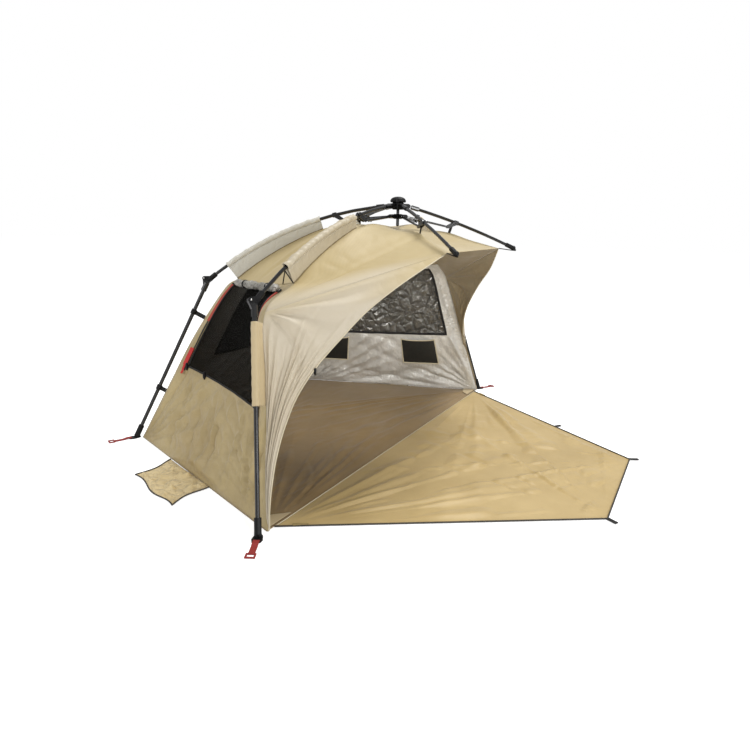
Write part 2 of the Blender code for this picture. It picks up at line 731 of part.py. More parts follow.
def sleeve_ring(centre, up, across, depth):
    """Teardrop section: round over the tube, drawn in to the seam below it."""
    points = []
    for angle in np.linspace(-0.30 * math.pi, 1.30 * math.pi, 11):
        points.append(centre + across * (SLEEVE_HALF_WIDTH * math.cos(angle))
                      + up * (SLEEVE_CREST * math.sin(angle)))
    seam = SLEEVE_HALF_WIDTH / 6
    low = up * (SEAM_CLEARANCE - depth)
    return points + [centre - across * seam + low, centre + across * seam + low]


def make_rib_sleeve(rib, fabric):
    shares = np.linspace(*rib.sleeve_shares, 9)
    rings = [
        sleeve_ring(rib.on_arc(share), rib.normal(share), rib.across, sleeve_depth(rib, share))
        for share in shares
    ]
    sleeve = loft("sleeve", rings)
    cut(sleeve, bent_tube("bore", rib.bar_line[2:], rib.radius + SLEEVE_CLEARANCE))
    finish(sleeve, "rib_sleeve_" + rib.name, fabric, rib.pivot, 60)


def sleeve_depth(rib, share):
    """How far the seam hangs below the rib: it grows from the bracket to the sleeve's end,
    and towards the crown, where the fabric leaves the ribs."""
    start, end = rib.sleeve_shares
    if share < start:
        return SLEEVE_DEPTH_TOP + (CROWN_DROP - SLEEVE_DEPTH_TOP) * (1 - share / start) ** 2
    part = (share - start) / (end - start)
    return SLEEVE_DEPTH_TOP + (SLEEVE_DEPTH_END - SLEEVE_DEPTH_TOP) * part


def smooth_line(keys, spots):
    """Catmull-Rom line through keys. A spot of 2.5 lies halfway from key 2 to key 3."""
    keys = np.asarray(keys, float)
    padded = np.vstack([2 * keys[0] - keys[1], keys, 2 * keys[-1] - keys[-2]])
    spots = np.clip(np.asarray(spots, float), 0, len(keys) - 1)
    low = np.minimum(spots.astype(int), len(keys) - 2)
    t = (spots - low)[:, None]
    a, b, c, d = (padded[low + i] for i in range(4))
    return 0.5 * (2 * b + (c - a) * t + (2 * a - 5 * b + 4 * c - d) * t ** 2
                  + (3 * b - a - 3 * c + d) * t ** 3)


def leg_edge(rib, share):
    """Fabric edge beside a leg, drawn inwards from the tube, share 0 elbow to 1 foot."""
    at_elbow, at_middle, at_foot = rib.insets
    middle = math.sin(math.pi * min(share, 1.0)) ** 0.7
    depth = at_foot + (at_elbow - at_foot) * (1 - share) ** 4 + (at_middle - at_foot) * middle
    inward = -rib.out
    point = rib.tip + (rib.foot - rib.tip) * share + inward * depth
    point.z = max(point.z, HEM_LIFT)
    return point


TIP_KEY = 3
RIM_KEY = 7
ELBOW_KEY = 8
HEM_KEY = 11


def fabric_keys(rib):
    """Seam line of one corner: crown, under the rib, then down beside the leg."""
    start, end = rib.sleeve_shares
    shares = end - (end - start) / 4 * np.arange(RIM_KEY - 1, -1, -1)
    keys = [rib.at(0, CROWN_HEIGHT)]
    keys += [rib.below(share, sleeve_depth(rib, share)) for share in shares]
    keys += [leg_edge(rib, share) for share in (0.05, 0.34, 0.67, 1.0)]
    return [tuple(key) for key in keys]


def awning_keys(arm):
    seam = zip(AWNING_SEAM_SHARES, AWNING_SEAM_DROPS)
    return [arm.at(0, CROWN_HEIGHT)] + [arm.below(share, drop) for share, drop in seam]


def sheet_between(left, right, columns, sag, sag_shape):
    """Grid between two edge lines, pulled in by sag towards the middle of the span."""
    across = np.linspace(0, 1, columns)[None, :, None]
    grid = left[:, None] * (1 - across) + right[:, None] * across
    along = grid[1:] - grid[:-1]
    along = np.concatenate([along, along[-1:]])
    sideways = (right - left)[:, None]
    normal = np.cross(along, sideways)
    normal /= np.maximum(np.linalg.norm(normal, axis=2, keepdims=True), 1e-9)
    inward = np.where((normal * (grid - SHELL_MIDDLE)).sum(2, keepdims=True) > 0, -1, 1)
    belly = 4 * across * (1 - across) * np.asarray(sag_shape)[:, None, None]
    return grid + normal * inward * belly * sag


SHELL_MIDDLE = np.array([0, HUB_Y / 2, CROWN_HEIGHT / 3])


def trim(grid, top=0.0, bottom=0.0, left=0.0, right=0.0):
    """Draw the edges of a grid in by a distance, so that neighbours stay clear."""
    grid = grid.copy()

    def pull(edge, inner, amount):
        step = inner - edge
        length = np.maximum(np.linalg.norm(step, axis=-1, keepdims=True), 1e-9)
        return edge + step / length * amount

    grid[0] = pull(grid[0], grid[1], top)
    grid[-1] = pull(grid[-1], grid[-2], bottom)
    grid[:, 0] = pull(grid[:, 0], grid[:, 1], left)
    grid[:, -1] = pull(grid[:, -1], grid[:, -2], right)
    return grid


def shell(name, grid, thickness, material, keep=None, smooth_deg=60):
    """Sheet of fabric on a grid of points. keep marks the cells that are cloth."""
    rows, columns, _ = grid.shape
    index = np.arange(rows * columns).reshape(rows, columns)
    cells = np.stack([index[:-1, :-1], index[:-1, 1:], index[1:, 1:], index[1:, :-1]], -1)
    keep = np.ones((rows - 1, columns - 1), bool) if keep is None else keep
    bm = bmesh.new()
    verts = [bm.verts.new(point) for point in grid.reshape(-1, 3)]
    for cell in cells[keep]:
        bm.faces.new([verts[i] for i in cell])
    bmesh.ops.remove_doubles(bm, verts=bm.verts, dist=GAP / 10)
    bmesh.ops.dissolve_degenerate(bm, dist=GAP / 10, edges=bm.edges)
    loose = [v for v in bm.verts if not v.link_faces]
    bmesh.ops.delete(bm, geom=loose, context="VERTS")
    item = object_from_bmesh(name, bm)
    solid = item.modifiers.new("thickness", "SOLIDIFY")
    solid.thickness = thickness
    solid.offset = 0
    solid.use_even_offset = True
    return finish(item, name, material, None, smooth_deg)


def make_shell(ribs, awning, cloth, net):
    """Roof, walls, windows, awning and wings, sewn along shared seam lines."""
    lines = {rib.name: np.array(fabric_keys(rib)) for rib in ribs}
    poles = {arm.name: np.array(awning_keys(arm)) for arm in awning}

    def sectors(edges, sag, belly_span):
        belly = np.sin(np.linspace(0, 1, ROOF_ROWS) * math.pi * belly_span)
        grids = []
        for first, second in zip(edges[:-1], edges[1:]):
            grids.append(sheet_between(first, second, SECTOR_COLUMNS, sag, belly))
        return grids

    def joined(grids):
        return np.concatenate([grids[0]] + [grid[:, 1:] for grid in grids[1:]], 1)

    order = ("front_right", "back_right", "back_left", "front_left")
    spots = np.linspace(0, RIM_KEY, ROOF_ROWS)
    roof_sectors = sectors([smooth_line(lines[name], spots) for name in order], ROOF_SAG,
                           ROOF_BELLY_SPAN)
    roof = joined(roof_sectors)
    roof[0] += (0, 2 * CORNER_TRIM, 0)
    shell("roof", trim(roof, 0, SEAM_TRIM, CORNER_TRIM, CORNER_TRIM), FABRIC_THICKNESS, cloth)

    side_spots = np.linspace(0, ELBOW_KEY, ROOF_ROWS)
    pole_spots = np.linspace(0, TIP_KEY, ROOF_ROWS)
    edges = [
        smooth_line(lines["front_left"], side_spots),
        smooth_line(poles["awning_left"], pole_spots),
        smooth_line(poles["awning_right"], pole_spots),
        smooth_line(lines["front_right"], side_spots),
    ]
    awning_sectors = sectors(edges, AWNING_SAG, 1.0)
    canopy = joined(awning_sectors)
    canopy[0] -= (0, 2 * CORNER_TRIM, 0)
    shell("awning", trim(canopy, 0, CORNER_TRIM, CORNER_TRIM, CORNER_TRIM), FABRIC_THICKNESS,
          cloth)

    walls = {}
    names = ("right", "back", "left")
    side_shares = (WINDOW_SIDE_SHARE, BACK_WINDOW_SIDE_SHARE, WINDOW_SIDE_SHARE)
    for step, (name, side_share) in enumerate(zip(names, side_shares)):
        wall = Wall(lines[order[step]], lines[order[step + 1]], roof_sectors[step][-1], side_share)
        wall.make(name, cloth, net)
        walls[name] = wall
    make_wing(-1, lines["front_left"], poles["awning_left"], awning_sectors[0][-1], cloth)
    make_wing(1, lines["front_right"], poles["awning_right"], awning_sectors[2][-1][::-1], cloth)
    return walls


class Wall:
    """One wall: seam lines at its corners, the roof's rim above it and a hem at the ground."""

    def __init__(self, first, second, rim, side_share):
        first_spots, second_spots = self.spots(first), self.spots(second)
        self.across = np.concatenate([
            [0, side_share / 2], np.linspace(side_share, 1 - side_share, WINDOW_COLUMNS + 1),
            [1 - side_share / 2, 1]])
        left = smooth_line(first, first_spots)[:, None]
        right = smooth_line(second, second_spots)[:, None]
        share = self.across[None, :, None]
        grid = left * (1 - share) + right * share
        spots = first_spots[:, None, None] * (1 - share) + second_spots[:, None, None] * share
        reach = (spots - RIM_KEY) / (HEM_KEY - RIM_KEY)
        chord = right[-1, 0] - left[-1, 0]
        inward = np.array([-chord[1], chord[0], 0]) / np.linalg.norm(chord)
        inward = inward if inward @ (SHELL_MIDDLE - grid.mean((0, 1))) > 0 else -inward
        belly = 4 * share * (1 - share) * np.sin(math.pi * reach) * WALL_SAG
        grid = grid + inward * belly
        self.inward = inward
        rim_share = np.linspace(0, 1, len(rim))
        matched = np.stack([np.interp(self.across, rim_share, rim[:, i]) for i in range(3)], 1)
        fade = np.maximum(0, 1 - reach / RIM_FADE_SHARE)
        self.grid = grid + (matched - grid[0])[None] * fade
        self.grid[-1, :, 2] = HEM_LIFT

    def spots(self, line):
        """Places of the rows along a corner seam: rim, window rows, then rows to the hem."""
        fine = np.linspace(RIM_KEY, HEM_KEY, 200)
        heights = smooth_line(line, fine)[:, 2]
        top, sill = np.interp(
            [-(heights[0] - WINDOW_TOP_MARGIN), -WINDOW_SILL_HEIGHT], -heights, fine)
        return np.concatenate([
            [RIM_KEY], np.linspace(top, sill, WINDOW_ROWS + 1),
            np.linspace(sill, HEM_KEY, APRON_ROWS + 1)[1:]])

    def make(self, name, cloth, net):
        rows, columns = self.grid.shape[:2]
        low, high = 1, 1 + WINDOW_ROWS
        near, far = 2, 2 + WINDOW_COLUMNS
        keep = np.ones((rows - 1, columns - 1), bool)
        keep[low:high, near:far] = False
        shell(name + "_wall", trim(self.grid, SEAM_TRIM, 0, CORNER_TRIM, CORNER_TRIM),
              FABRIC_THICKNESS, cloth, keep)
        window = self.grid[low:high + 1, near:far + 1]
        shell(name + "_window_mesh", trim(window, SEAM_TRIM, SEAM_TRIM, SEAM_TRIM, SEAM_TRIM),
              NET_THICKNESS, net)

    def outward(self, points):
        """Unit vectors square to a patch of the wall, pointing out of the tent."""
        normal = np.cross(np.gradient(points, axis=0), np.gradient(points, axis=1))
        normal /= np.linalg.norm(normal, axis=2, keepdims=True)
        return normal if (normal * self.inward).sum() < 0 else -normal

    def patch(self, across, heights):
        """Points on the wall at shares across it and at heights above the ground."""
        points = np.zeros((len(heights), len(across), 3))
        for column, share in enumerate(across):
            line = np.stack([
                [np.interp(share, self.across, self.grid[row, :, i]) for i in range(3)]
                for row in range(len(self.grid))])
            for axis in range(3):
                points[:, column, axis] = np.interp(
                    -np.asarray(heights), -line[:, 2], line[:, axis])
        return points


def make_pocket(wall, name, centre_share, net):
    """Flat net pouch: sewn to the wall on three sides, standing off it at the mouth."""
    span = np.linalg.norm(wall.grid[-1, 0] - wall.grid[-1, -1])
    half = POCKET_WIDTH / span / 2
    across = np.linspace(centre_share - half, centre_share + half, POCKET_COLUMNS)
    top = WINDOW_SILL_HEIGHT - POCKET_DROP
    heights = np.linspace(top, top - POCKET_HEIGHT, POCKET_ROWS)
    points = wall.patch(across, heights)
    mouth = np.sin(np.linspace(0, 1, POCKET_COLUMNS) * math.pi)[None, :] ** 0.5
    fall = np.linspace(1, 0, POCKET_ROWS)[:, None]
    stand_off = POCKET_SEAM + POCKET_MOUTH * mouth * fall
    shell(name, points - wall.outward(points) * stand_off[..., None], NET_THICKNESS, net)


def make_window_roll(wall, cloth):
    """Cover of the left window, rolled up and tied under the roof's rim."""
    across = np.linspace(ROLL_END_SHARE, 1 - ROLL_END_SHARE, 7)
    height = wall.grid[0, :, 2].min() - ROLL_DROP
    strip = wall.patch(across, [height, height - ROLL_RADIUS])
    line = strip + wall.outward(strip) * (ROLL_RADIUS + ROLL_STAND_OFF)
    roll = bent_tube("roll", line[0], ROLL_RADIUS)
    finish(roll, "window_cover_roll", cloth, None, 60)


def make_window_cover(wall, cloth):
    """Cover of the right window, closed over the net from outside."""
    points = wall.grid[1:2 + WINDOW_ROWS, 2:3 + WINDOW_COLUMNS]
    points = points + wall.outward(points) * COVER_STAND_OFF
    points = trim(points, -COVER_LAP, -COVER_LAP, -COVER_LAP, -COVER_LAP)
    shell("right_window_cover", points, FABRIC_THICKNESS, cloth)


def wing_edge(top, foot, shares):
    """Free edge of a wing, from the awning's corner down to the front foot: a smooth line
    through keys that say what share of the way out, back and down it has come."""
    keys = np.array(top) + (np.array(foot) - top) * np.array(WING_EDGE_KEYS)
    return smooth_line(keys, shares * (len(keys) - 1))


def make_wing(side, rib_line, pole_line, ridge, cloth):
    """Door post panel: from the ridge under the awning, down between leg and free edge."""
    shares = np.linspace(0, 1, WING_ROWS)
    leg_line = smooth_line(rib_line, ELBOW_KEY + shares * (HEM_KEY - ELBOW_KEY))
    foot = leg_line[-1] + np.array([-side * WING_TOE, 0, 0])
    edge = wing_edge(pole_line[-1], foot, shares)
    width = np.linspace(0, 1, len(ridge))[None, :, None]
    grid = leg_line[:, None] * (1 - width) + edge[:, None] * width
    fade = np.maximum(0, 1 - shares / RIM_FADE_SHARE)[:, None, None]
    grid = grid + (ridge - grid[0])[None] * fade
    name = ("left" if side < 0 else "right") + "_wing"
    shell(name, trim(grid, CORNER_TRIM, 0, CORNER_TRIM, 0), FABRIC_THICKNESS, cloth)


def make_leg_sleeve(rib, cloth):
    """Fabric tube round a front leg, sewn to the corner seam beside it."""
    seam = smooth_line(fabric_keys(rib), np.linspace(ELBOW_KEY, HEM_KEY, 60))
    rings, line = [], []
    outer = elbow_frame(rib)[0]
    heading = rib.leg_heading
    up = (rib.out - heading * rib.out.dot(heading)).normalized()
    across = heading.cross(up)
    for share in np.linspace(LEG_SLEEVE_START_SHARE, LEG_SLEEVE_END_SHARE, 6):
        centre = rib.tip + (rib.foot - rib.tip) * share
        nearest = np.argmin(np.abs((seam - centre) @ heading))
        depth = (centre - Vector(seam[nearest])).dot(up)
        rings.append(sleeve_ring(centre, up, across, depth))
        line.append(centre)
    sleeve = loft("sleeve", rings)
    cut(sleeve, rod("bore", line[0] - heading * OVERRUN, line[-1] + heading * OVERRUN,
                    LEG_RADIUS + SLEEVE_CLEARANCE))
    finish(sleeve, "leg_sleeve_" + rib.name, cloth, rib.tip + outer * PIVOT_OFFSET, 60)


def make_sand_flap(side, wall, cloth):
    """Flap sewn to the wall's hem, laid on the ground to be weighed down with sand."""
    hem = wall.grid[-1]
    hem = hem[np.argsort(hem[:, 1])]
    ys = np.linspace(FLAP_CENTRE_Y - FLAP_WIDTH / 2, FLAP_CENTRE_Y + FLAP_WIDTH / 2, 5)
    xs = np.interp(ys, hem[:, 1], hem[:, 0])
    grid = np.zeros((5, 5, 3))
    for row, share in enumerate((0, 0.12, 0.3, 0.65, 1.0)):
        grid[row, :, 0] = xs + side * (FABRIC_THICKNESS + GAP + FLAP_DEPTH * share)
        grid[row, :, 1] = ys + (FLAP_CENTRE_Y - ys) * FLAP_TAPER_SHARE * share
        grid[row, :, 2] = FABRIC_THICKNESS / 2 + (HEM_LIFT if row == 0 else 0)
    name = "sand_flap_" + ("left" if side < 0 else "right")
    shell(name, grid, FABRIC_THICKNESS, cloth)


def make_floor(ribs, sheet):
    """Ground sheet, held in from the wall hems by the seam allowance."""
    corners = []
    for rib in ribs:
        corner = np.array(rib.foot) - np.array(rib.out) * (rib.insets[2] + FLOOR_INSET)
        if rib.name.startswith("front"):
            corner[1] = FRONT_Y + SEAM_TRIM
        corners.append(corner[:2])
    plane = Matrix.Identity(4)
    floor = plate("floor", corners, FLOOR_THICKNESS, plane, FLOOR_THICKNESS / 2)
    finish(floor, "floor", sheet)


def make_door(sheet, hinge):
    """Unzipped door panel, laid out in front of the sill. A notch at each near corner stays
    clear of the front legs as they fold in."""
    half_near = FRONT_WIDTH / 2 - DOOR_CORNER_CUT
    half_far = DOOR_END_WIDTH / 2
    far = FRONT_Y - DOOR_LENGTH
    near = FRONT_Y - SEAM_TRIM
    notch = near - DOOR_NOTCH_DEPTH
    sides = [(-half_near, notch), (-half_far, far), (half_far, far), (half_near, notch)]
    sill = half_near - DOOR_NOTCH_WIDTH
    outline = [(-sill, near)] + sides + [(sill, near)]
    plane = Matrix.Identity(4)
    door = plate("door", outline, FLOOR_THICKNESS, plane, FLOOR_THICKNESS / 2)
    finish(door, "door_panel", sheet, hinge)
    return sides


def make_zip_pull(side, outline, plastic):
    """Zip slider and its tab, parked near the sill on the door's side edge."""
    near, far = Vector((*outline[3], 0)), Vector((*outline[2], 0))
    if side < 0:
        near.x, far.x = -near.x, -far.x
    along = (far - near).normalized()
    inward = UP.cross(along)
    inward = inward if inward.x * side < 0 else -inward
    start = near + along * ZIP_LENGTH * 2 + inward * ZIP_WIDTH
    base = start + UP * (FLOOR_THICKNESS + GAP)
    plane = frame_matrix(base, along, UP.cross(along), UP)
    body = plate("slider", link_outline((0, 0), ZIP_WIDTH / 2, (ZIP_LENGTH, 0), ZIP_WIDTH / 3),
                 ZIP_HEIGHT, plane, ZIP_HEIGHT / 2)
    tab_start = ZIP_LENGTH / 2
    tab = plate("tab", link_outline((tab_start, 0), ZIP_WIDTH / 3,
                                    (tab_start + ZIP_TAB_LENGTH, 0), ZIP_WIDTH / 4),
                ZIP_HEIGHT / 3, plane, ZIP_HEIGHT)
    fuse(body, tab)
    finish(body, "zip_pull_" + ("left" if side < 0 else "right"), plastic, start)


clear_scene()
parts = new_collection("beach_tent")

tan_cloth = make_material("tan_polyester", (0.62, 0.50, 0.30), 0.7)
pale_cloth = make_material("pale_polyester", (0.66, 0.60, 0.46), 0.6)
silver_cloth = make_material("silver_polyester", (0.55, 0.54, 0.52), 0.4)
ground_sheet = make_material("ground_sheet", (0.45, 0.34, 0.18), 0.6)
net = make_material("black_net", (0.02, 0.02, 0.02), 0.8)
black_plastic = make_material("black_plastic", (0.02, 0.02, 0.022), 0.45)
dark_steel = make_material("dark_steel", (0.05, 0.05, 0.055), 0.3, 0.9)
red_webbing = make_material("red_webbing", (0.45, 0.03, 0.02), 0.7)

ribs, awning_arms = build_arms()
arms = ribs + awning_arms

make_hub(arms, black_plastic, dark_steel)
make_lower_hub(arms, black_plastic)
for arm in arms:
    make_strut(arm, dark_steel)
for rib in ribs:
    rib_end = rib.tip - rib.end_heading * SEAT_DEPTH
    finish(make_bar(rib, rib_end, STRAIGHT_SHARE), "rib_" + rib.name, dark_steel, rib.pivot)
    make_elbow(rib, black_plastic)
    make_leg(rib, dark_steel)
    make_foot(rib, black_plastic, red_webbing)
    make_rib_sleeve(rib, pale_cloth)
    if rib.name.startswith("front"):
        make_leg_sleeve(rib, pale_cloth)
for arm in awning_arms:
    pole_end = arm.tip - arm.tangent(0.99) * TIP_LENGTH / 3
    finish(make_bar(arm, pole_end, 0.92), "pole_" + arm.name, dark_steel, arm.pivot)
    make_awning_tip(arm, black_plastic)
walls = make_shell(ribs, awning_arms, tan_cloth, net)
make_pocket(walls["right"], "pocket_rear", POCKET_REAR_SHARE, net)
make_pocket(walls["right"], "pocket_front", POCKET_FRONT_SHARE, net)
make_window_roll(walls["left"], silver_cloth)
make_window_cover(walls["right"], silver_cloth)
make_sand_flap(-1, walls["left"], tan_cloth)
make_sand_flap(1, walls["right"], tan_cloth)
make_floor(ribs, ground_sheet)
door_outline = make_door(tan_cloth, (0, FRONT_Y, 0))
for side in (-1, 1):
    make_zip_pull(side, door_outline, black_plastic)
print(len(parts.objects), "pieces")
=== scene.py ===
# %% [markdown]
# An instant beach tent: a sewn shell of coated polyester hangs under a black umbrella frame,
# and its unzipped door lies on the ground in front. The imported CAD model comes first, because
# every piece of cloth made here hangs on it and moves with its bodies.

# %% The frame
import math

import bpy
import numpy as np
from mathutils import Matrix


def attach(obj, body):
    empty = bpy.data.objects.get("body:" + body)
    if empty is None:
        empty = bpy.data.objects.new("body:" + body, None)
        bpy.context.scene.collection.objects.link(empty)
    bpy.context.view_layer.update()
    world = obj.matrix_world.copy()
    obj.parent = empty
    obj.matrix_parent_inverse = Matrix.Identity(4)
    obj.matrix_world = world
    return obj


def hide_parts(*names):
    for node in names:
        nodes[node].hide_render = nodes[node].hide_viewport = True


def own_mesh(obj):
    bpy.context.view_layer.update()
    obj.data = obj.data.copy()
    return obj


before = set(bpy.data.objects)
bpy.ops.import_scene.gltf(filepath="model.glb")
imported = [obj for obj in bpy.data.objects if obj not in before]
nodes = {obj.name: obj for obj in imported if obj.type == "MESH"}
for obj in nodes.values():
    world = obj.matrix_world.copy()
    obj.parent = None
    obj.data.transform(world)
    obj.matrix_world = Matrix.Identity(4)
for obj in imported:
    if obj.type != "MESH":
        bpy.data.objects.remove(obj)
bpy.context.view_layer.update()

# %% [markdown]
# The cloth follows the same few numbers as the frame: the plan angles of the arms, the height
# of the hub, where the elbows and the feet are. A seam is a smooth line through keys that are
# worked out from them, so the finely meshed cloth lies where the plain CAD sheets lie.

# %% Numbers of the frame
FRONT_WIDTH = 2.40
BACK_WIDTH = 1.474
FLOOR_DEPTH = 1.234
FRONT_Y = -FLOOR_DEPTH / 2
BACK_Y = FLOOR_DEPTH / 2
HUB_Y = FRONT_Y + 0.072
HUB_HEIGHT = 1.222
CROWN_HEIGHT = 1.112
PIVOT_REACH = 0.050
ELBOW = (0.965, 0.835)
AWNING_TIP = (0.626, 1.024)
RIB_BOW, AWNING_BOW = 0.075, 0.012
ARM_DEGREES = {"front": 7.0, "back": 60.5, "awning": -50.1}
SLEEVE_SHARES = {"front": (0.30, 0.79), "back": (0.34, 0.87)}
SLEEVE_DEPTHS = (0.050, 0.083)
INSETS = {"front": (0.055, 0.052, 0.052), "back": (0.115, 0.045, 0.036)}
HEM_LIFT = 0.0027
# Places along a seam, counted in its keys.
TIP_KEY, RIM_KEY, ELBOW_KEY, HEM_KEY = 3, 7, 8, 11
UP = np.array([0.0, 0.0, 1.0])
SHELL_MIDDLE = np.array([0, HUB_Y / 2, CROWN_HEIGHT / 3])
CLOTH, NET, SLEEVE_CLOTH = 0.0006, 0.0004, 0.0008


def unit(vectors):
    """Vectors divided by their lengths."""
    return vectors / np.linalg.norm(vectors, axis=-1, keepdims=True)


class Arm:
    """A rib or awning pole as a bowed line in the upright plane through the hub's axis."""

    def __init__(self, name):
        side = -1 if name.endswith("left") else 1
        self.kind = name.split("_")[0]
        angle = math.radians(ARM_DEGREES[self.kind])
        self.out = np.array([side * math.cos(angle), math.sin(angle), 0])
        self.across = np.cross(UP, self.out)
        self.pivot = self.at(PIVOT_REACH, HUB_HEIGHT)
        self.tip = self.at(*(AWNING_TIP if self.kind == "awning" else ELBOW))
        self.bow = AWNING_BOW if self.kind == "awning" else RIB_BOW
        width, y = (FRONT_WIDTH, FRONT_Y) if self.kind == "front" else (BACK_WIDTH, BACK_Y)
        self.foot = np.array([side * width / 2, y, 0])
        self.heading = unit(self.foot - self.tip)

    def at(self, reach, height):
        """Point in the arm's plane, at a reach from the hub's axis and a height."""
        return np.array([0, HUB_Y, 0]) + self.out * reach + UP * height

    def on_arc(self, share):
        """Chord point lifted along the chord's normal by a parabola: 4 bow s (1 - s)."""
        chord = self.tip - self.pivot
        normal = unit(np.cross(self.across, chord))
        normal = normal * np.sign(normal[2])
        return self.pivot + chord * share + normal * (4 * self.bow * share * (1 - share))

    def on_leg(self, share):
        """Point on the leg's line, from the elbow at 0 to the foot at 1."""
        return self.tip + (self.foot - self.tip) * share

    def tangent(self, share):
        return unit(self.on_arc(share + 1e-3) - self.on_arc(share - 1e-3))

    def normal(self, share):
        normal = np.cross(self.tangent(share), self.across)
        return normal * np.sign(normal[2])

    def below(self, share, drop):
        return self.on_arc(share) - self.normal(share) * drop


RIB_NAMES = ("front_right", "back_right", "back_left", "front_left")
ribs = {name: Arm(name) for name in RIB_NAMES}
poles = {name: Arm(name) for name in ("awning_left", "awning_right")}
print("elbow of the front left leg at", ribs["front_left"].tip.round(3))

# %% [markdown]
# Two sheets that meet share one seam, so both take the same line. On the real tent the seams
# hang from the ribs in sleeves, deeper towards the elbow, and run down beside the legs.

# %% Seam lines


def sleeve_depth(rib, share):
    """Seam's depth under a rib: grows along the sleeve, and as a square towards the crown."""
    start, end = SLEEVE_SHARES[rib.kind]
    if share < start:
        fall = HUB_HEIGHT - CROWN_HEIGHT - SLEEVE_DEPTHS[0]
        return SLEEVE_DEPTHS[0] + fall * (1 - share / start) ** 2
    part = (share - start) / (end - start)
    return SLEEVE_DEPTHS[0] + (SLEEVE_DEPTHS[1] - SLEEVE_DEPTHS[0]) * part


def smooth_line(keys, spots):
    """Catmull-Rom line through keys: a cubic between each pair, tangents from neighbours."""
    keys = np.asarray(keys, float)
    padded = np.vstack([2 * keys[0] - keys[1], keys, 2 * keys[-1] - keys[-2]])
    spots = np.clip(np.asarray(spots, float), 0, len(keys) - 1)
    low = np.minimum(spots.astype(int), len(keys) - 2)
    t = (spots - low)[:, None]
    a, b, c, d = (padded[low + i] for i in range(4))
    return 0.5 * (2 * b + (c - a) * t + (2 * a - 5 * b + 4 * c - d) * t ** 2
                  + (3 * b - a - 3 * c + d) * t ** 3)


def leg_edge(rib, share):
    """Seam beside a leg: insets at the elbow, the middle and the foot, blended by
    (1 - share)^4 and sin(pi share)^0.7."""
    at_elbow, at_middle, at_foot = INSETS[rib.kind]
    middle = math.sin(math.pi * min(share, 1.0)) ** 0.7
    depth = at_foot + (at_elbow - at_foot) * (1 - share) ** 4 + (at_middle - at_foot) * middle
    point = rib.on_leg(share) - rib.out * depth
    point[2] = max(point[2], HEM_LIFT)
    return point


def corner_keys(rib):
    start, end = SLEEVE_SHARES[rib.kind]
    shares = end - (end - start) / 4 * np.arange(RIM_KEY - 1, -1, -1)
    keys = [rib.at(0, CROWN_HEIGHT)]
    keys += [rib.below(share, sleeve_depth(rib, share)) for share in shares]
    keys += [leg_edge(rib, share) for share in (0.05, 0.34, 0.67, 1.0)]
    return np.array(keys)


def pole_keys(arm):
    drops = ((0.35, 0.063), (0.62, 0.053), (0.88, 0.033))
    return np.array([arm.at(0, CROWN_HEIGHT)] + [arm.below(share, drop) for share, drop in drops])


corners = {name: corner_keys(rib) for name, rib in ribs.items()}
ridges = {name: pole_keys(arm) for name, arm in poles.items()}
print("seam lines:", len(corners) + len(ridges))

# %% [markdown]
# Cloth under tension shows three kinds of folds: fans that spread from a corner that pulls,
# creases left from the bag, and a soft unevenness between them. Each is a height over the
# sheet's own plane. They are added along the normals, and die out at the seams.

# %% Folds as heights


def fan(u, v, corner, angles, reach, height, width_deg, seed):
    """Folds from a corner, one near each angle in degrees: a Gaussian ridge across its angle,
    rising and then dying with distance as r exp(1 - r), highest at reach."""
    draw = np.random.default_rng(seed)
    du, dv = u - corner[0], v - corner[1]
    distance = np.hypot(du, dv) / reach
    angle = np.degrees(np.arctan2(dv, du))
    total = np.zeros_like(u)
    for middle in angles:
        centre = middle + draw.uniform(-1, 1) * width_deg
        wide = width_deg * draw.uniform(0.6, 1.3)
        size = height * draw.uniform(0.5, 1.2) * draw.choice([-1, 1], p=[0.35, 0.65])
        turn = (angle - centre + 180) % 360 - 180
        total += size * np.exp(-(turn / wide) ** 2) * distance * np.exp(1 - distance)
    return total


def creases(u, v, count, length, width, height, lean_deg, spread_deg, seed):
    """Bag creases: short lines at random places. Across each the sheet steps up and down
    again as d exp(-d^2), along it the height dies as a Gaussian."""
    draw = np.random.default_rng(seed)
    total = np.zeros_like(u)
    for _ in range(count):
        at = draw.uniform(u.min(), u.max()), draw.uniform(v.min(), v.max())
        lean = math.radians(lean_deg + draw.normal() * spread_deg)
        along = (u - at[0]) * math.cos(lean) + (v - at[1]) * math.sin(lean)
        off = (v - at[1]) * math.cos(lean) - (u - at[0]) * math.sin(lean)
        off = off + (along ** 2) * draw.normal() * 0.6
        wide = width * draw.uniform(0.6, 1.6)
        d = off / wide
        size = height * draw.uniform(0.3, 1.0) * draw.choice([-1, 1])
        total += size * d * np.exp(0.5 - d ** 2) * np.exp(-(along / length) ** 2)
    return total


def unevenness(u, v, wavelength, height, seed):
    """Sum of eight sine waves of random direction near one wavelength."""
    draw = np.random.default_rng(seed)
    total = np.zeros_like(u)
    for _ in range(8):
        turn = draw.uniform(0, math.tau)
        long = wavelength * draw.uniform(0.7, 1.5)
        phase = draw.uniform(0, math.tau)
        total += np.sin((u * math.cos(turn) + v * math.sin(turn)) * math.tau / long + phase)
    return total * height / 4


def shares_of(shape):
    """Shares from 0 to 1 down the rows and along the columns of a grid."""
    return np.linspace(0, 1, shape[0])[:, None], np.linspace(0, 1, shape[1])[None, :]


def held_edges(shape, ramp=0.06, free_end=False):
    """Mask that is 0 on the held edges and 1 inside: 1 - exp(-(a / ramp)^2) at a share a from
    each. The last column is not held where free_end is true."""
    s, t = shares_of(shape)
    mask = np.ones(shape)
    for away in (s, 1 - s, t) if free_end else (s, 1 - s, t, 1 - t):
        mask = mask * (1 - np.exp(-(away / ramp) ** 2))
    return mask


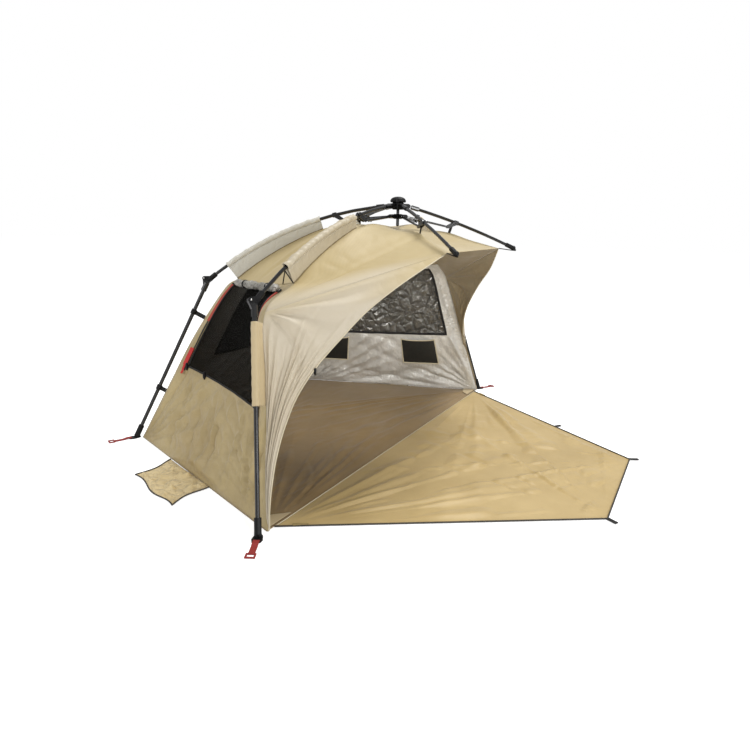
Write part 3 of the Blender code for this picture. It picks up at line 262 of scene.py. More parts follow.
# %% [markdown]
# A sheet starts as a grid of points. Its normals and its lengths when laid flat are read off the
# grid as whole arrays, which is quicker and plainer than asking the mesh.

# %% Grids


def surface_normals(grid):
    """Cross product of the steps along rows and columns, made unit length."""
    normal = np.cross(np.gradient(grid, axis=0), np.gradient(grid, axis=1))
    length = np.linalg.norm(normal, axis=2, keepdims=True)
    return normal / np.maximum(length, 1e-9)


def facing_out(grid):
    """Normals turned away from the middle of the shell."""
    normal = surface_normals(grid)
    return normal * np.where((normal * (grid - SHELL_MIDDLE)).sum() > 0, 1, -1)


def flat_coordinates(grid):
    """Lengths along rows and columns, in metres, from the middle: the sheet laid flat."""
    steps = np.linalg.norm(np.diff(grid, axis=1), axis=2)
    u = np.concatenate([np.zeros((len(grid), 1)), np.cumsum(steps, 1)], 1)
    u = u - u[:, -1:] / 2
    falls = np.linalg.norm(np.diff(grid, axis=0), axis=2)
    v = np.concatenate([np.zeros((1, grid.shape[1])), np.cumsum(falls, 0)], 0)
    return u, v


def resampled(line, spots):
    """Points at shares of a line from 0 to 1, by linear steps between its own points."""
    share = np.linspace(0, 1, len(line))
    return np.stack([np.interp(spots, share, line[:, i]) for i in range(3)], 1)


def sheet_between(left, right, columns, sag, belly):
    """Ruled sheet between two lines, pulled in by 4 t (1 - t) times sag and belly."""
    t = np.linspace(0, 1, columns)[None, :, None]
    grid = left[:, None] * (1 - t) + right[:, None] * t
    return grid - facing_out(grid) * (4 * t * (1 - t) * belly[:, None, None] * sag)


# %% [markdown]
# Three ways to make a piece: a sheet of cloth from a grid, with a real thickness; a round cord
# carried along a line; a flat strap along a line. Each is hung on the empty of the body that
# carries it, and one that squashes gets its own copy of its mesh.

# %% Meshes from grids
# The awning, a fan, has less than that.
SLANTED = np.array([0.31, 0.2, 0.93])
sheet_names = []


def new_object(name, points, faces, materials, smooth=True):
    """One object at the origin, from an array of points and a list of faces."""
    mesh = bpy.data.meshes.new(name)
    mesh.from_pydata(points.reshape(-1, 3).tolist(), [], faces)
    for material in materials:
        mesh.materials.append(material)
    mesh.polygons.foreach_set("use_smooth", [smooth] * len(mesh.polygons))
    mesh.update()
    item = bpy.data.objects.new(name, mesh)
    bpy.context.scene.collection.objects.link(item)
    return item


def declare(item, body, squash):
    """Hangs a piece on the empty of the body that carries it; one that squashes gets its own copy
    of its mesh.
    """
    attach(item, body)
    if squash:
        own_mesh(item)


def cloth(name, grid, materials, stands_for=(), body="shell", keep=None, flip=False,
          thickness=CLOTH, squash=True, painted_light_paleness=None):
    """Sheet with thickness. The second material goes on the side that Solidify adds. keep says
    which cells are cloth."""
    rows, columns, _ = grid.shape
    u, v = flat_coordinates(grid)
    index = np.arange(rows * columns).reshape(rows, columns)
    cells = np.stack([index[:-1, :-1], index[:-1, 1:], index[1:, 1:], index[1:, :-1]], -1)
    keep = np.ones((rows - 1, columns - 1), bool) if keep is None else keep
    faces = cells[keep]
    outward = (surface_normals(grid) * (grid - SHELL_MIDDLE)).sum() > 0
    if outward != flip:
        faces = faces[:, ::-1]
    item = new_object(name, grid, faces.tolist(), materials)
    flat = np.stack([u, v], -1).reshape(-1, 2)
    item.data.uv_layers.new(name="UVMap").data.foreach_set("uv", flat[faces].ravel())
    # The point attribute marks where the shell's colour is painted paler: painted light.
    if painted_light_paleness is not None:
        layer = item.data.attributes.new("painted_light_paleness", "FLOAT", "POINT")
        layer.data.foreach_set("value", painted_light_paleness.ravel().astype(np.float32))
    solid = item.modifiers.new("thickness", "SOLIDIFY")
    solid.thickness = thickness
    solid.offset = 0
    solid.material_offset = len(materials) - 1
    solid.material_offset_rim = 0
    declare(item, body, squash)
    if stands_for:
        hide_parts(*stands_for)
    sheet_names.append(name)


def swept(name, sections, material, closed=False, smooth=True):
    """Skin over a row of sections, each a ring of points: four-sided faces join each ring to
    the next, and a face closes each end unless the path itself is closed."""
    count, steps, _ = sections.shape
    index = np.arange(count * steps).reshape(count, steps)
    near, far = (index, np.roll(index, -1, 0)) if closed else (index[:-1], index[1:])
    quads = np.stack([near, np.roll(near, -1, 1), np.roll(far, -1, 1), far], -1).reshape(-1, 4)
    ends = [] if closed else [index[0][::-1].tolist(), index[-1].tolist()]
    return new_object(name, sections, quads.tolist() + ends, [material], smooth)


def tube(name, line, radius, material, body="shell", squash=True, steps=8, closed=False):
    """Round cord swept along a line: a circle in the plane square to it at each point. SLANTED
    is parallel to none of the cords, so its cross product with one always has a direction."""
    line = np.asarray(line, float)
    radius = np.broadcast_to(np.asarray(radius, float), len(line))[:, None, None]
    ahead = np.roll(line, -1, 0) - np.roll(line, 1, 0) if closed else np.gradient(line, axis=0)
    ahead = unit(ahead)
    side = unit(np.cross(ahead, SLANTED))
    other = np.cross(ahead, side)
    angle = np.linspace(0, math.tau, steps, endpoint=False)[None, :, None]
    ring = np.cos(angle) * side[:, None] + np.sin(angle) * other[:, None]
    declare(swept(name, line[:, None] + ring * radius, material, closed), body, squash)


def ribbon(name, line, across, width, thick, material, body="shell", squash=True):
    """Flat strap along a line: four corner lines, so each section is a thin rectangle."""
    line = np.asarray(line, float)
    across = unit(np.broadcast_to(np.asarray(across, float), line.shape))
    face = unit(np.cross(np.gradient(line, axis=0), across))
    half, up = across * width / 2, face * thick / 2
    section = np.stack([line - half - up, line + half - up, line + half + up, line - half + up], 1)
    item = swept(name, section, material, smooth=False)
    edge = item.modifiers.new("soft edges", "BEVEL")
    edge.width = thick / 4
    edge.segments = 1
    declare(item, body, squash)


# %% [markdown]
# Materials. The shell is polyester taffeta, coated on the inside: smooth, with a faint sheen
# along its threads and hundreds of fine crumples from its bag. The frame is glossy painted
# steel tube in moulded nylon joints. A colour is written as on screen and turned to linear.

# %% Colour and nodes


def linear(hex_colour):
    """sRGB hex to linear: the usual curve with its short straight foot."""
    value = np.array([int(hex_colour[i:i + 2], 16) / 255 for i in (1, 3, 5)])
    value = np.where(value <= 0.04045, value / 12.92, ((value + 0.055) / 1.055) ** 2.4)
    return (*value.tolist(), 1.0)


def add(tree, kind, settings=None, **inputs):
    """Adds a node with its settings. An input goes by its name, or by its number as in at0, and
    is a value or the socket that feeds it."""
    node = tree.nodes.new(kind)
    for key, value in (settings or {}).items():
        setattr(node, key, value)
    for key, value in inputs.items():
        socket = node.inputs[int(key[2:]) if key[:2] == "at" else key.replace("_", " ")]
        if isinstance(value, bpy.types.NodeSocket):
            tree.links.new(value, socket)
        else:
            socket.default_value = value
    return node


def empty_tree(owner):
    """Node tree of a material or world, emptied."""
    owner.use_nodes = True
    owner.node_tree.nodes.clear()
    return owner.node_tree


# %% Cloth finishes
COLOUR_MIX = {"data_type": "RGBA"}
WAVE_MM, THREAD_MM = 320, 5


def polyester(name, colour, shade, rough=0.55, crumple=0.35, metallic=0.0, sheen=0.2,
              crumple_mm=28, painted_light_colour=None, relief=0.006):
    """Coated taffeta. Threads of 0.3 mm are drawn as 5 mm pairs so that they show at all; a wave
    texture of scale 1 repeats about every WAVE_MM. Crumples come from bent cells of crumple_mm,
    relief metres deep, and the dye varies over a third of a metre. A paler colour, where given, is
    mixed in by the point attribute of painted light: it stands for the cooler light on the sides
    of the shell."""
    material = bpy.data.materials.new(name)
    tree = empty_tree(material)
    place = add(tree, "ShaderNodeTexCoord").outputs["Object"]
    flat = add(tree, "ShaderNodeTexCoord").outputs["UV"]
    dye = add(tree, "ShaderNodeTexNoise", Vector=place, Scale=3.0, Detail=4.0, Roughness=0.6)
    spread = add(tree, "ShaderNodeMapRange", Value=dye.outputs[0], From_Min=0.3, From_Max=0.7)
    base = add(tree, "ShaderNodeMix", COLOUR_MIX, at0=spread.outputs[0], at6=linear(colour),
               at7=linear(shade)).outputs[2]
    if painted_light_colour:
        # Painted light: mixes in the paler colour where the point attribute is 1.
        amount = add(tree, "ShaderNodeAttribute", {"attribute_name": "painted_light_paleness"})
        base = add(tree, "ShaderNodeMix", COLOUR_MIX, at0=amount.outputs["Fac"], at6=base,
                   at7=linear(painted_light_colour)).outputs[2]
    per_metre = 1000 / crumple_mm
    warp = add(tree, "ShaderNodeTexNoise", Vector=place, Scale=per_metre / 3, Detail=3.0)
    bent = add(tree, "ShaderNodeVectorMath", {"operation": "MULTIPLY_ADD"},
               at0=warp.outputs["Color"], at1=(0.05, 0.05, 0.05), at2=place)
    folds = add(tree, "ShaderNodeTexVoronoi", {"feature": "DISTANCE_TO_EDGE"},
                Vector=bent.outputs[0], Scale=per_metre / 1.6)
    soft = add(tree, "ShaderNodeMapRange", Value=folds.outputs[0], From_Max=0.25)
    fine = add(tree, "ShaderNodeTexNoise", Vector=place, Scale=per_metre, Detail=3.0,
               Roughness=0.5)
    height = add(tree, "ShaderNodeMath", {"operation": "MULTIPLY_ADD"},
                 at0=soft.outputs[0], at1=0.5, at2=fine.outputs[0])
    warps, wefts = (add(tree, "ShaderNodeTexWave", {"wave_type": "BANDS", "bands_direction": way},
                        Vector=flat, Scale=WAVE_MM / THREAD_MM, Distortion=0.2).outputs[0]
                    for way in "XY")
    weave = add(tree, "ShaderNodeMath", {"operation": "MULTIPLY"}, at0=warps, at1=wefts)
    base = add(tree, "ShaderNodeMix", dict(COLOUR_MIX, blend_type="OVERLAY"), at0=0.05, at6=base,
               at7=weave.outputs[0]).outputs[2]
    bumps = add(tree, "ShaderNodeBump", Height=height.outputs[0], Strength=crumple,
                Distance=relief)
    threads = add(tree, "ShaderNodeBump", Height=weave.outputs[0], Strength=0.05,
                  Distance=0.0005, Normal=bumps.outputs[0])
    shader = add(tree, "ShaderNodeBsdfPrincipled", Base_Color=base, Normal=threads.outputs[0],
                 Roughness=rough, Metallic=metallic, Sheen_Weight=sheen, Sheen_Roughness=0.4)
    add(tree, "ShaderNodeOutputMaterial", Surface=shader.outputs[0])
    return material


# Shell of tan taffeta: dull, with broad soft crumples. Beside the elbows and over the wings it is
# painted paler: painted light, for the cooler light on the sides.
PAINTED_LIGHT_PALE = "#C8BDA7"
tan = polyester("tan_taffeta", "#BFAC7D", "#B5A172", 0.55, 0.22, crumple_mm=60, painted_light_colour=PAINTED_LIGHT_PALE)
wing_cloth = polyester("wing_taffeta", "#BFAC7D", "#B5A172", 0.5, 0.3, crumple_mm=45, painted_light_colour=PAINTED_LIGHT_PALE)
wall_tan = polyester("wall_taffeta", "#B7A476", "#A49064", 0.5, 0.4, crumple_mm=40)
brown_inside = polyester("tan_taffeta_inside", "#9C8E72", "#8D7D60", 0.6, 0.25, crumple_mm=60)
# Sleeves of a lighter cloth, pale on the ribs and tan on the legs.
pale = polyester("pale_taffeta", "#C6BBA3", "#BDB197", 0.5, 0.35)
# The back ribs' sleeves are the same pale cloth, painted greyer and lighter: painted light, for
# the cooler light that falls on them.
pale_back_painted_light = polyester("pale_taffeta_painted_cool_light", "#D2CFC4", "#C8C4B7", 0.5, 0.35)
strip_tan = polyester("sleeve_taffeta", "#C3B08A", "#BAA67F", 0.5, 0.2, crumple_mm=50)
# Sheets on the ground: heavier cloth, so their crumples are wider; the flaps are all crumples.
sheet_brown = polyester("ground_taffeta", "#998059", "#8A724C", 0.5, 0.2, crumple_mm=90)
porch_tan = polyester("door_taffeta", "#C8AF78", "#B79D66", 0.5, 0.2, crumple_mm=90)
flap_tan = polyester("flap_taffeta", "#DDCBA0", "#C9B27C", 0.5, 0.9, crumple_mm=38, relief=0.014)
# Aluminium coating on the inside: smoother and a little metallic, so each crumple glints.
silver = polyester("silver_coating", "#E2E0DA", "#CBC8C0", 0.30, 0.6, 0.12, 0.0, 22)
crinkled = polyester("crinkled_silver", "#DAD7CE", "#8A867C", 0.30, 1.0, 0.2, 0.0, 20,
                     relief=0.016)
film = polyester("crinkled_film", "#BDBBB4", "#86837B", 0.13, 1.0, 0.5, 0.0, 40, relief=0.022)
print("cloth finishes made")

# %% [markdown]
# The rest is moulded nylon, painted tube, woven webbing and net. All look like one colour with
# a fine grain, so one recipe makes them; what differs is gloss and the size of the grain. A
# net's holes are finer than a pixel, so alpha stands for the share of it that is thread.

# %% Net, webbing and frame finishes


def plain_finish(name, colour, rough, metallic=0.0, per_metre=60.0, bump=0.1, coat=0.0,
                 alpha=1.0, vary=0.15, gloss=0.5):
    """One colour, mottled by a slow noise of per_metre / 4, with bumps from a fine noise of
    10 per_metre. vary is how much darker the mottles are, gloss the specular level."""
    material = bpy.data.materials.new(name)
    tree = empty_tree(material)
    place = add(tree, "ShaderNodeTexCoord").outputs["Object"]
    tone = add(tree, "ShaderNodeTexNoise", Vector=place, Scale=per_metre / 4, Detail=3.0)
    grains = add(tree, "ShaderNodeTexNoise", Vector=place, Scale=per_metre * 10, Detail=2.0)
    dark = tuple(c * (1 - vary) for c in linear(colour)[:3]) + (1.0,)
    base = add(tree, "ShaderNodeMix", COLOUR_MIX, at0=tone.outputs[0], at6=linear(colour),
               at7=dark)
    worn = add(tree, "ShaderNodeMapRange", Value=tone.outputs[0], To_Min=rough * 0.8,
               To_Max=min(rough * 1.25, 1.0))
    bumps = add(tree, "ShaderNodeBump", Height=grains.outputs[0], Strength=bump, Distance=0.0004)
    shader = add(tree, "ShaderNodeBsdfPrincipled", Base_Color=base.outputs[2],
                 Roughness=worn.outputs[0], Normal=bumps.outputs[0], Metallic=metallic,
                 Coat_Weight=coat, Alpha=alpha, Specular_IOR_Level=gloss)
    add(tree, "ShaderNodeOutputMaterial", Surface=shader.outputs[0])
    return material


nylon = plain_finish("moulded_nylon", "#0D0D0E", 0.45, 0.0, 80.0, 0.25, gloss=0.25)
tube_paint = plain_finish("painted_steel_tube", "#111112", 0.25, 0.1, 40.0, 0.05, 0.4)
zip_paint = plain_finish("tan_zip_paint", "#9C8756", 0.45, 0.0, 60.0, 0.1)
steel_cap = plain_finish("rivet_steel", "#C9C9C6", 0.25, 1.0, 60.0, 0.05)
black_web = plain_finish("black_webbing", "#1B1A19", 0.8, 0.0, 120.0, 0.4)
red_web = plain_finish("red_webbing", "#8E211B", 0.65, 0.0, 120.0, 0.4)
red_tape = plain_finish("red_zip_tape", "#B5402F", 0.55, 0.0, 160.0, 0.5)
# The rib seams are real, but their dark brown is painted shade, for the shadow line where each
# sleeve meets the roof.
seam_shade_brown = plain_finish("seam_painted_shade", "#8A7A58", 0.8, 0.0, 120.0, 0.3)
bright_red = plain_finish("red_pull_tag", "#C4201A", 0.5, 0.0, 120.0, 0.4)
dark_tape = plain_finish("dark_binding", "#3A352E", 0.7, 0.0, 120.0, 0.3)
cream_tape = plain_finish("cream_binding", "#D8CDB0", 0.7, 0.0, 120.0, 0.3)
net_black = plain_finish("black_net", "#060502", 0.9, 0.0, 200.0, 0.2, 0.0, 0.79, gloss=0.03)
net_pocket = plain_finish("pocket_net", "#262623", 0.6, 0.0, 200.0, 0.3, 0.0, 0.93)
net_smoke = plain_finish("smoke_net", "#161512", 0.6, 0.0, 200.0, 0.3, 0.0, 0.22)
print("frame and net finishes made")

# %% [markdown]
# The roof is three sectors between the four ribs, and the awning three more between the front
# ribs and the two short poles. Each is a ruled sheet pulled in a little in the middle, as thin
# cloth is between two curved seams.

# %% Roof and awning
FINE = 72


def sectors(edges, sag, span, columns=FINE):
    belly = np.sin(np.linspace(0, 1, len(edges[0])) * math.pi * span)
    return [sheet_between(a, b, columns, sag, belly) for a, b in zip(edges[:-1], edges[1:])]


def joined(grids):
    return np.concatenate([grids[0]] + [grid[:, 1:] for grid in grids[1:]], 1)


def displaced(grid, height):
    return grid + facing_out(grid) * height[..., None]


def smooth_step(value, low, high):
    """0 below low, 1 above high, and 3 x^2 - 2 x^3 between them."""
    x = np.clip((value - low) / (high - low), 0, 1)
    return x * x * (3 - 2 * x)


spots = np.linspace(0, RIM_KEY, FINE)
roof_sectors = sectors([smooth_line(corners[name], spots) for name in RIB_NAMES], 0.022, 0.6)
side_spots = np.linspace(0, ELBOW_KEY, FINE)
pole_spots = np.linspace(0, TIP_KEY, FINE)
awning_sectors = sectors([
    smooth_line(corners["front_left"], side_spots), smooth_line(ridges["awning_left"], pole_spots),
    smooth_line(ridges["awning_right"], pole_spots),
    smooth_line(corners["front_right"], side_spots)], 0.020, 1.0)

dressed = []
for step, grid in enumerate(roof_sectors):
    u, v = flat_coordinates(grid)
    height = unevenness(u, v, 0.30, 0.003, 10 + step)
    height += creases(u, v, 16, 0.16, 0.014, 0.0020, 80, 25, 20 + step)
    dressed.append(displaced(grid, height * held_edges(u.shape)))
cloth("roof_cloth", joined(dressed), [tan, brown_inside], ["roof"],
      painted_light_paleness=np.zeros((FINE, 3 * FINE - 2)))

dressed, painted_light_shares = [], []
s, t = shares_of((FINE, FINE))
for step, grid in enumerate(awning_sectors):
    u, v = flat_coordinates(grid)
    height = unevenness(u, v, 0.35, 0.003, 30 + step)
    height += creases(u, v, 12, 0.30, 0.016, 0.0016, 0, 14, 40 + step)
    if step != 1:
        corner = (u[-1, 0], v[-1, 0]) if step == 0 else (u[-1, -1], v[-1, -1])
        angles = np.linspace(-8, -58, 8) if step == 0 else np.linspace(-172, -122, 8)
        height += fan(u, v, corner, angles, 0.32, 0.0065, 2.6, 44 + step)
    dressed.append(displaced(grid, height * held_edges(u.shape)))
    # Painted light: on the two side sectors, near the elbow end and the corner seam, the colour is
    # painted paler for the cooler light there.
    away = t if step == 0 else 1 - t
    fade = smooth_step(s, 0.86, 1.04) * (1 - smooth_step(away, 0.55, 1.0))
    painted_light_shares.append(fade * (step != 1))
cloth("awning_cloth", joined(dressed), [tan, brown_inside], ["awning"],
      painted_light_paleness=joined(painted_light_shares))
print("roof and awning:", len(sheet_names), "sheets")

# %% [markdown]
# A wall runs from the rim of the roof down to the hem. Its window is a hole in the grid, so
# the net behind it shows the inside of the tent, as the real one does.

# %% Walls
WINDOW_SILL = ELBOW[1] * 0.49
WINDOW_TOP_MARGIN = 0.022
WINDOW_ROWS, WINDOW_COLUMNS = (6, 54), (9, 69)
POCKET_SHARES = {"pocket_rear": 0.84, "pocket_front": 0.29}
POCKET_DROP, POCKET_HEIGHT, POCKET_WIDTH = 0.038, 0.18, 0.27


class Wall:
    """Ruled sheet between two corner seams, pulled in by 4 t (1 - t) sin(pi r) times sag, with
    its top row matched to the roof's rim."""

    def __init__(self, first, second, rim, side_share, sag=0.030):
        first_rows, second_rows = self.spots(first), self.spots(second)
        self.columns = np.concatenate([
            np.linspace(0, side_share, 10), np.linspace(side_share, 1 - side_share, 61)[1:],
            np.linspace(1 - side_share, 1, 10)[1:]])
        t = self.columns[None, :, None]
        rows = first_rows[:, None, None] * (1 - t) + second_rows[:, None, None] * t
        reach = (rows - RIM_KEY) / (HEM_KEY - RIM_KEY)
        grid = smooth_line(first, first_rows)[:, None] * (1 - t)
        grid = grid + smooth_line(second, second_rows)[:, None] * t
        chord = grid[-1, -1] - grid[-1, 0]
        inward = np.array([-chord[1], chord[0], 0]) / np.linalg.norm(chord)
        inward = inward * np.sign(inward @ (SHELL_MIDDLE - grid.mean((0, 1))))
        grid = grid + inward * (4 * t * (1 - t) * np.sin(math.pi * reach)) * sag
        matched = resampled(rim, self.columns)
        grid = grid + (matched - grid[0])[None] * np.maximum(0, 1 - reach / 0.4)
        grid[-1, :, 2] = HEM_LIFT
        self.grid = grid
        self.outward = facing_out(grid)
        self.u, self.v = flat_coordinates(grid)
        self.keep = np.ones((len(grid) - 1, len(self.columns) - 1), bool)
        self.keep[slice(*WINDOW_ROWS), slice(*WINDOW_COLUMNS)] = False

    def spots(self, line):
        """Rows along a corner seam: a few over the window, 48 along it, and the apron's."""
        fine = np.linspace(RIM_KEY, HEM_KEY, 400)
        heights = smooth_line(line, fine)[:, 2]
        levels = [-(heights[0] - WINDOW_TOP_MARGIN), -WINDOW_SILL]
        top, sill = np.interp(levels, -heights, fine)
        return np.concatenate([
            np.linspace(RIM_KEY, top, 7), np.linspace(top, sill, 49)[1:],
            np.linspace(sill, HEM_KEY, 49)[1:]])

    def window(self, spare):
        """Rows and columns of the window and of a few cells more on each side."""
        return tuple(slice(first - spare, last + 1 + spare)
                     for first, last in (WINDOW_ROWS, WINDOW_COLUMNS))


walls = {}
for step, (name, share) in enumerate((("right", 0.10), ("back", 0.20), ("left", 0.10))):
    walls[name] = Wall(corners[RIB_NAMES[step]], corners[RIB_NAMES[step + 1]],
                       roof_sectors[step][-1], share)
print("walls:", [wall.grid.shape for wall in walls.values()])

# %% [markdown]
# The walls take the pull of the feet: fans of folds rise from both lower corners, and loose
# upright folds hang below the sill. They are left out where a window's binding or a pocket
# holds the cloth flat.

# %% Folds of the walls
HANGING_FOLDS = 26


def dress_wall(name, wall):
    """Folds of one wall, all in flat metres from its middle and its rim."""
    u, v = wall.u, wall.v
    foot = float(v.max())
    half = float(np.ptp(u[-1])) / 2
    height = creases(u, v, 40, 0.20, 0.012, 0.0045, 84, 16, 50 + len(name))
    height += creases(u, v, 40, 0.06, 0.008, 0.0018, 0, 90, 60 + len(name))
    height += unevenness(u, v, 0.22, 0.005, 70 + len(name))
    for side, angles in ((-1, np.linspace(-85, -8, 12)), (1, np.linspace(-95, -172, 12))):
        strength = 0.021 if name == "right" else 0.013
        height += fan(u, v, (side * half, foot), angles, 0.34, strength, 2.0, 80 + side)
    (low, high), (near, far) = WINDOW_ROWS, WINDOW_COLUMNS
    sill = float(v[high, near:far].mean())
    below = smooth_step(v, sill - 0.01, sill + 0.10) * (1 - smooth_step(v, foot - 0.25, foot))
    draw = np.random.default_rng(75 + len(name))
    for _ in range(HANGING_FOLDS):
        middle, lean = draw.uniform(-half, half), draw.uniform(-0.25, 0.25)
        wide = draw.uniform(0.007, 0.018)
        size = draw.uniform(0.003, 0.010) * draw.choice([-1, 1]) * (1.7 if name == "left" else 1)
        height += size * below * np.exp(-((u - middle - lean * (v - sill)) / wide) ** 2)
    window = np.zeros(u.shape)
    window[low - 2:high + 3, near - 2:far + 3] = 1
    pockets = 0
    if name == "right":
        middle = WINDOW_SILL - POCKET_DROP - POCKET_HEIGHT / 2
        level = (wall.grid[..., 2] - middle) / POCKET_HEIGHT
        for centre in POCKET_SHARES.values():
            aside = (wall.columns - centre)[None, :] / 0.14
            pockets = np.maximum(pockets, np.exp(-aside ** 6 - (level * 1.3) ** 6))
    height = height * held_edges(u.shape, 0.03) * (1 - 0.85 * window) * (1 - pockets)
    return wall.grid + wall.outward * height[..., None]


for name, wall in walls.items():
    wall.dressed = dress_wall(name, wall)
    cloth(name + "_wall_cloth", wall.dressed, [wall_tan, silver],
          [name + "_wall"], keep=wall.keep)
print("walls dressed:", len(sheet_names), "sheets so far")

# %% [markdown]
# The nets are flat between their bindings, so they take the wall's own grid without its folds.

# %% Window nets
for name, wall in walls.items():
    rows, columns = wall.window(0)
    finish = net_smoke if name == "right" else net_black
    cloth(name + "_window_net", wall.grid[rows, columns], [finish],
          [name + "_window_mesh"], thickness=NET)
print("window nets done")

# %% [markdown]
# Both wings are cut as quarter sails. Their upper edge is sewn to the awning and one side to
# the corner seam; the free edge runs in a long curve from the awning pole to the foot. Pleats
# spread from the elbow, where the frame pulls hardest, and gather again at the foot.

# %% Wings
WING_EDGE_KEYS = np.array([
    (0, 0, 0), (0.265, 0.32, 0.12), (0.407, 0.58, 0.22), (0.517, 0.77, 0.32), (0.64, 0.92, 0.42),
    (0.758, 1.00, 0.52), (0.85, 1.02, 0.62), (0.925, 1.01, 0.72), (0.972, 1.0, 0.82),
    (0.994, 1.0, 0.91), (1, 1, 1)])
RIGHT_WING_BACK = np.array([0, 0, 0.02, 0.06, 0.11, 0.16, 0.20, 0.19, 0.13, 0.06, 0])
WING_TOE = 0.008
PLEAT_SPOTS = (0.05, 0.12, 0.20, 0.31, 0.40, 0.52, 0.66, 0.78, 0.91)
ELBOW_FOLDS = ((0.035, 0.010), (0.10, -0.009), (0.17, 0.011), (0.27, -0.009), (0.40, 0.010),
               (0.58, -0.008))
TOGGLE_SHARE = 0.415


def wing_grid(side, corner, ridge_line, ridge, rows=170, columns=130):
    """Ruled sheet from the leg's seam to the free edge, a smooth line through shares of the
    way out, back and down; its first row is matched to the awning's ridge."""
    shares = np.linspace(0, 1, rows)
    leg = smooth_line(corner, ELBOW_KEY + shares * (HEM_KEY - ELBOW_KEY))
    top, foot = ridge_line[-1], leg[-1] + np.array([-side * WING_TOE, 0, 0])
    keys = WING_EDGE_KEYS.copy()
    keys[:, 1] += RIGHT_WING_BACK * (side > 0)
    edge = smooth_line(top + (foot - top) * keys, shares * (len(keys) - 1))
    across = np.linspace(0, 1, columns)
    ridge = resampled(ridge, across)
    t = across[None, :, None]
    grid = leg[:, None] * (1 - t) + edge[:, None] * t
    return grid + (ridge - grid[0])[None] * np.maximum(0, 1 - shares / 0.4)[:, None, None]


def dress_wing(grid, seed):
    """Pleats are Gaussian ridges along lines of equal t, so they gather at the foot, and die
    out under the ridge; over them a few along s = k t^0.8 leave the elbow's corner."""
    s, t = shares_of(grid.shape)
    draw = np.random.default_rng(seed)
    height = np.zeros(grid.shape[:2])
    for step, spot in enumerate(PLEAT_SPOTS):
        centre = spot + (0.03 * np.sin(s * 4 + draw.uniform(0, 6)) + 0.02) * np.sin(math.pi * s)
        wide = draw.uniform(0.018, 0.034) * (0.6 + 0.8 * spot)
        size = draw.uniform(0.010, 0.019) * (-0.6 if step % 3 == 2 else 1)
        start = draw.uniform(0.06, 0.20) + 0.10 * spot
        fade = smooth_step(s, start - 0.05, start + 0.25) * (1 - s) ** 0.3
        height += size * fade * np.exp(-((t - centre) / wide) ** 2)
    for slope, size in ELBOW_FOLDS:
        wide = 0.008 + 0.035 * t
        strong = np.clip(t / 0.08, 0, 1) * (1 - smooth_step(t, 0.45, 1.0))
        height += size * strong * np.exp(-((s - slope * t ** 0.8) / wide) ** 2)
    u, v = flat_coordinates(grid)
    height += creases(u, v, 30, 0.14, 0.012, 0.0016, 84, 12, seed + 1)
    return displaced(grid, height * held_edges(height.shape, 0.03, free_end=True))


wings = {}
for side, tag, ridge in ((-1, "left", awning_sectors[0][-1]),
                         (1, "right", awning_sectors[2][-1][::-1])):
    grid = wing_grid(side, corners["front_" + tag], ridges["awning_" + tag], ridge)
    wings[tag] = dress_wing(grid, 90 + side)
    s, t = shares_of(grid.shape)
    # Painted light: most of each wing is painted paler, for the cooler light on its side; only the
    # top, towards the free edge, stays nearer the tan.
    lower = 1 - smooth_step(s, 0, 0.2)
    fade = smooth_step(s, -0.10, 0.09) * (1 - smooth_step(t, 0.55, 1.0) * lower)
    cloth(tag + "_wing_cloth", wings[tag], [wing_cloth, brown_inside],
          [tag + "_wing"], painted_light_paleness=fade)
    tube(tag + "_wing_hem", wings[tag][1:-1, -1], 0.0022, cream_tape)
spot = wings["left"][int(TOGGLE_SHARE * (len(wings["left"]) - 1)), -1]
toggle = spot + np.array([0.0, -0.003, 0.0]) + UP * np.linspace(0.008, -0.022, 6)[:, None]
tube("wing_toggle", toggle, [0.002, 0.005, 0.006, 0.006, 0.005, 0.002], nylon)
print("wings done")

# %% [markdown]
# Sleeves hold the shell up: each is a tube of pale cloth round a rib, sewn to the roof's seam.
# Their section is a teardrop, most of a circle round the rib drawn in to a line below it.

# %% Sleeves
SLEEVE_RINGS, LEG_RINGS = 120, 40
LEG_SLEEVE_SHARES = (0.085, 0.45)


def teardrop(centres, ups, acrosses, depths, half_width, crest):
    """Rings of a teardrop: an arc of 1.6 pi round the tube, then two straight flanks."""
    angle = np.linspace(-0.32 * math.pi, 1.32 * math.pi, 22)
    wide = half_width * np.cos(angle)[None, :, None]
    tall = crest * np.sin(angle)[None, :, None]
    arc = centres[:, None] + acrosses[:, None] * wide + ups[:, None] * tall
    flank = np.linspace(0, 1, 9)[None, 1:-1, None]
    bottom = (centres - ups * depths[:, None])[:, None]
    left = arc[:, -1:] * (1 - flank) + bottom * flank
    right = bottom * (1 - flank) + arc[:, :1] * flank
    return np.concatenate([arc, left, bottom, right, arc[:, :1]], 1)


def sleeve(name, rings, stands_for, body, seed, finish, ends_mm):
    """Adds pleats round the section: slanted ones, deep at both ends where a drawcord gathers
    the cloth, and narrow ones all along. Both are sines of the place along and round."""
    s, t = shares_of(rings.shape)
    draw = np.random.default_rng(seed)
    phase = draw.uniform(0, math.tau)
    slanted = np.sin((s * 22 + np.sin(t * math.tau) * 2.2) * 2.2 + phase)
    narrow = np.sin(s * 105 + np.sin(t * math.tau + 0.6) * 5 + 2 * np.sin(s * 9 + phase))
    ends = np.exp(-(s / 0.22) ** 2) + np.exp(-((1 - s) / 0.22) ** 2)
    away = rings - rings.mean(1, keepdims=True)
    length = np.linalg.norm(away, axis=2, keepdims=True)
    height = slanted * (0.0006 + ends_mm / 4000 * ends) + narrow * ends_mm / 7000
    grid = rings + away / np.maximum(length, 1e-6) * height[..., None]
    grid[:, -1] = grid[:, 0]
    cloth(name, grid, [finish], [stands_for], body=body, squash=False,
          thickness=SLEEVE_CLOTH)


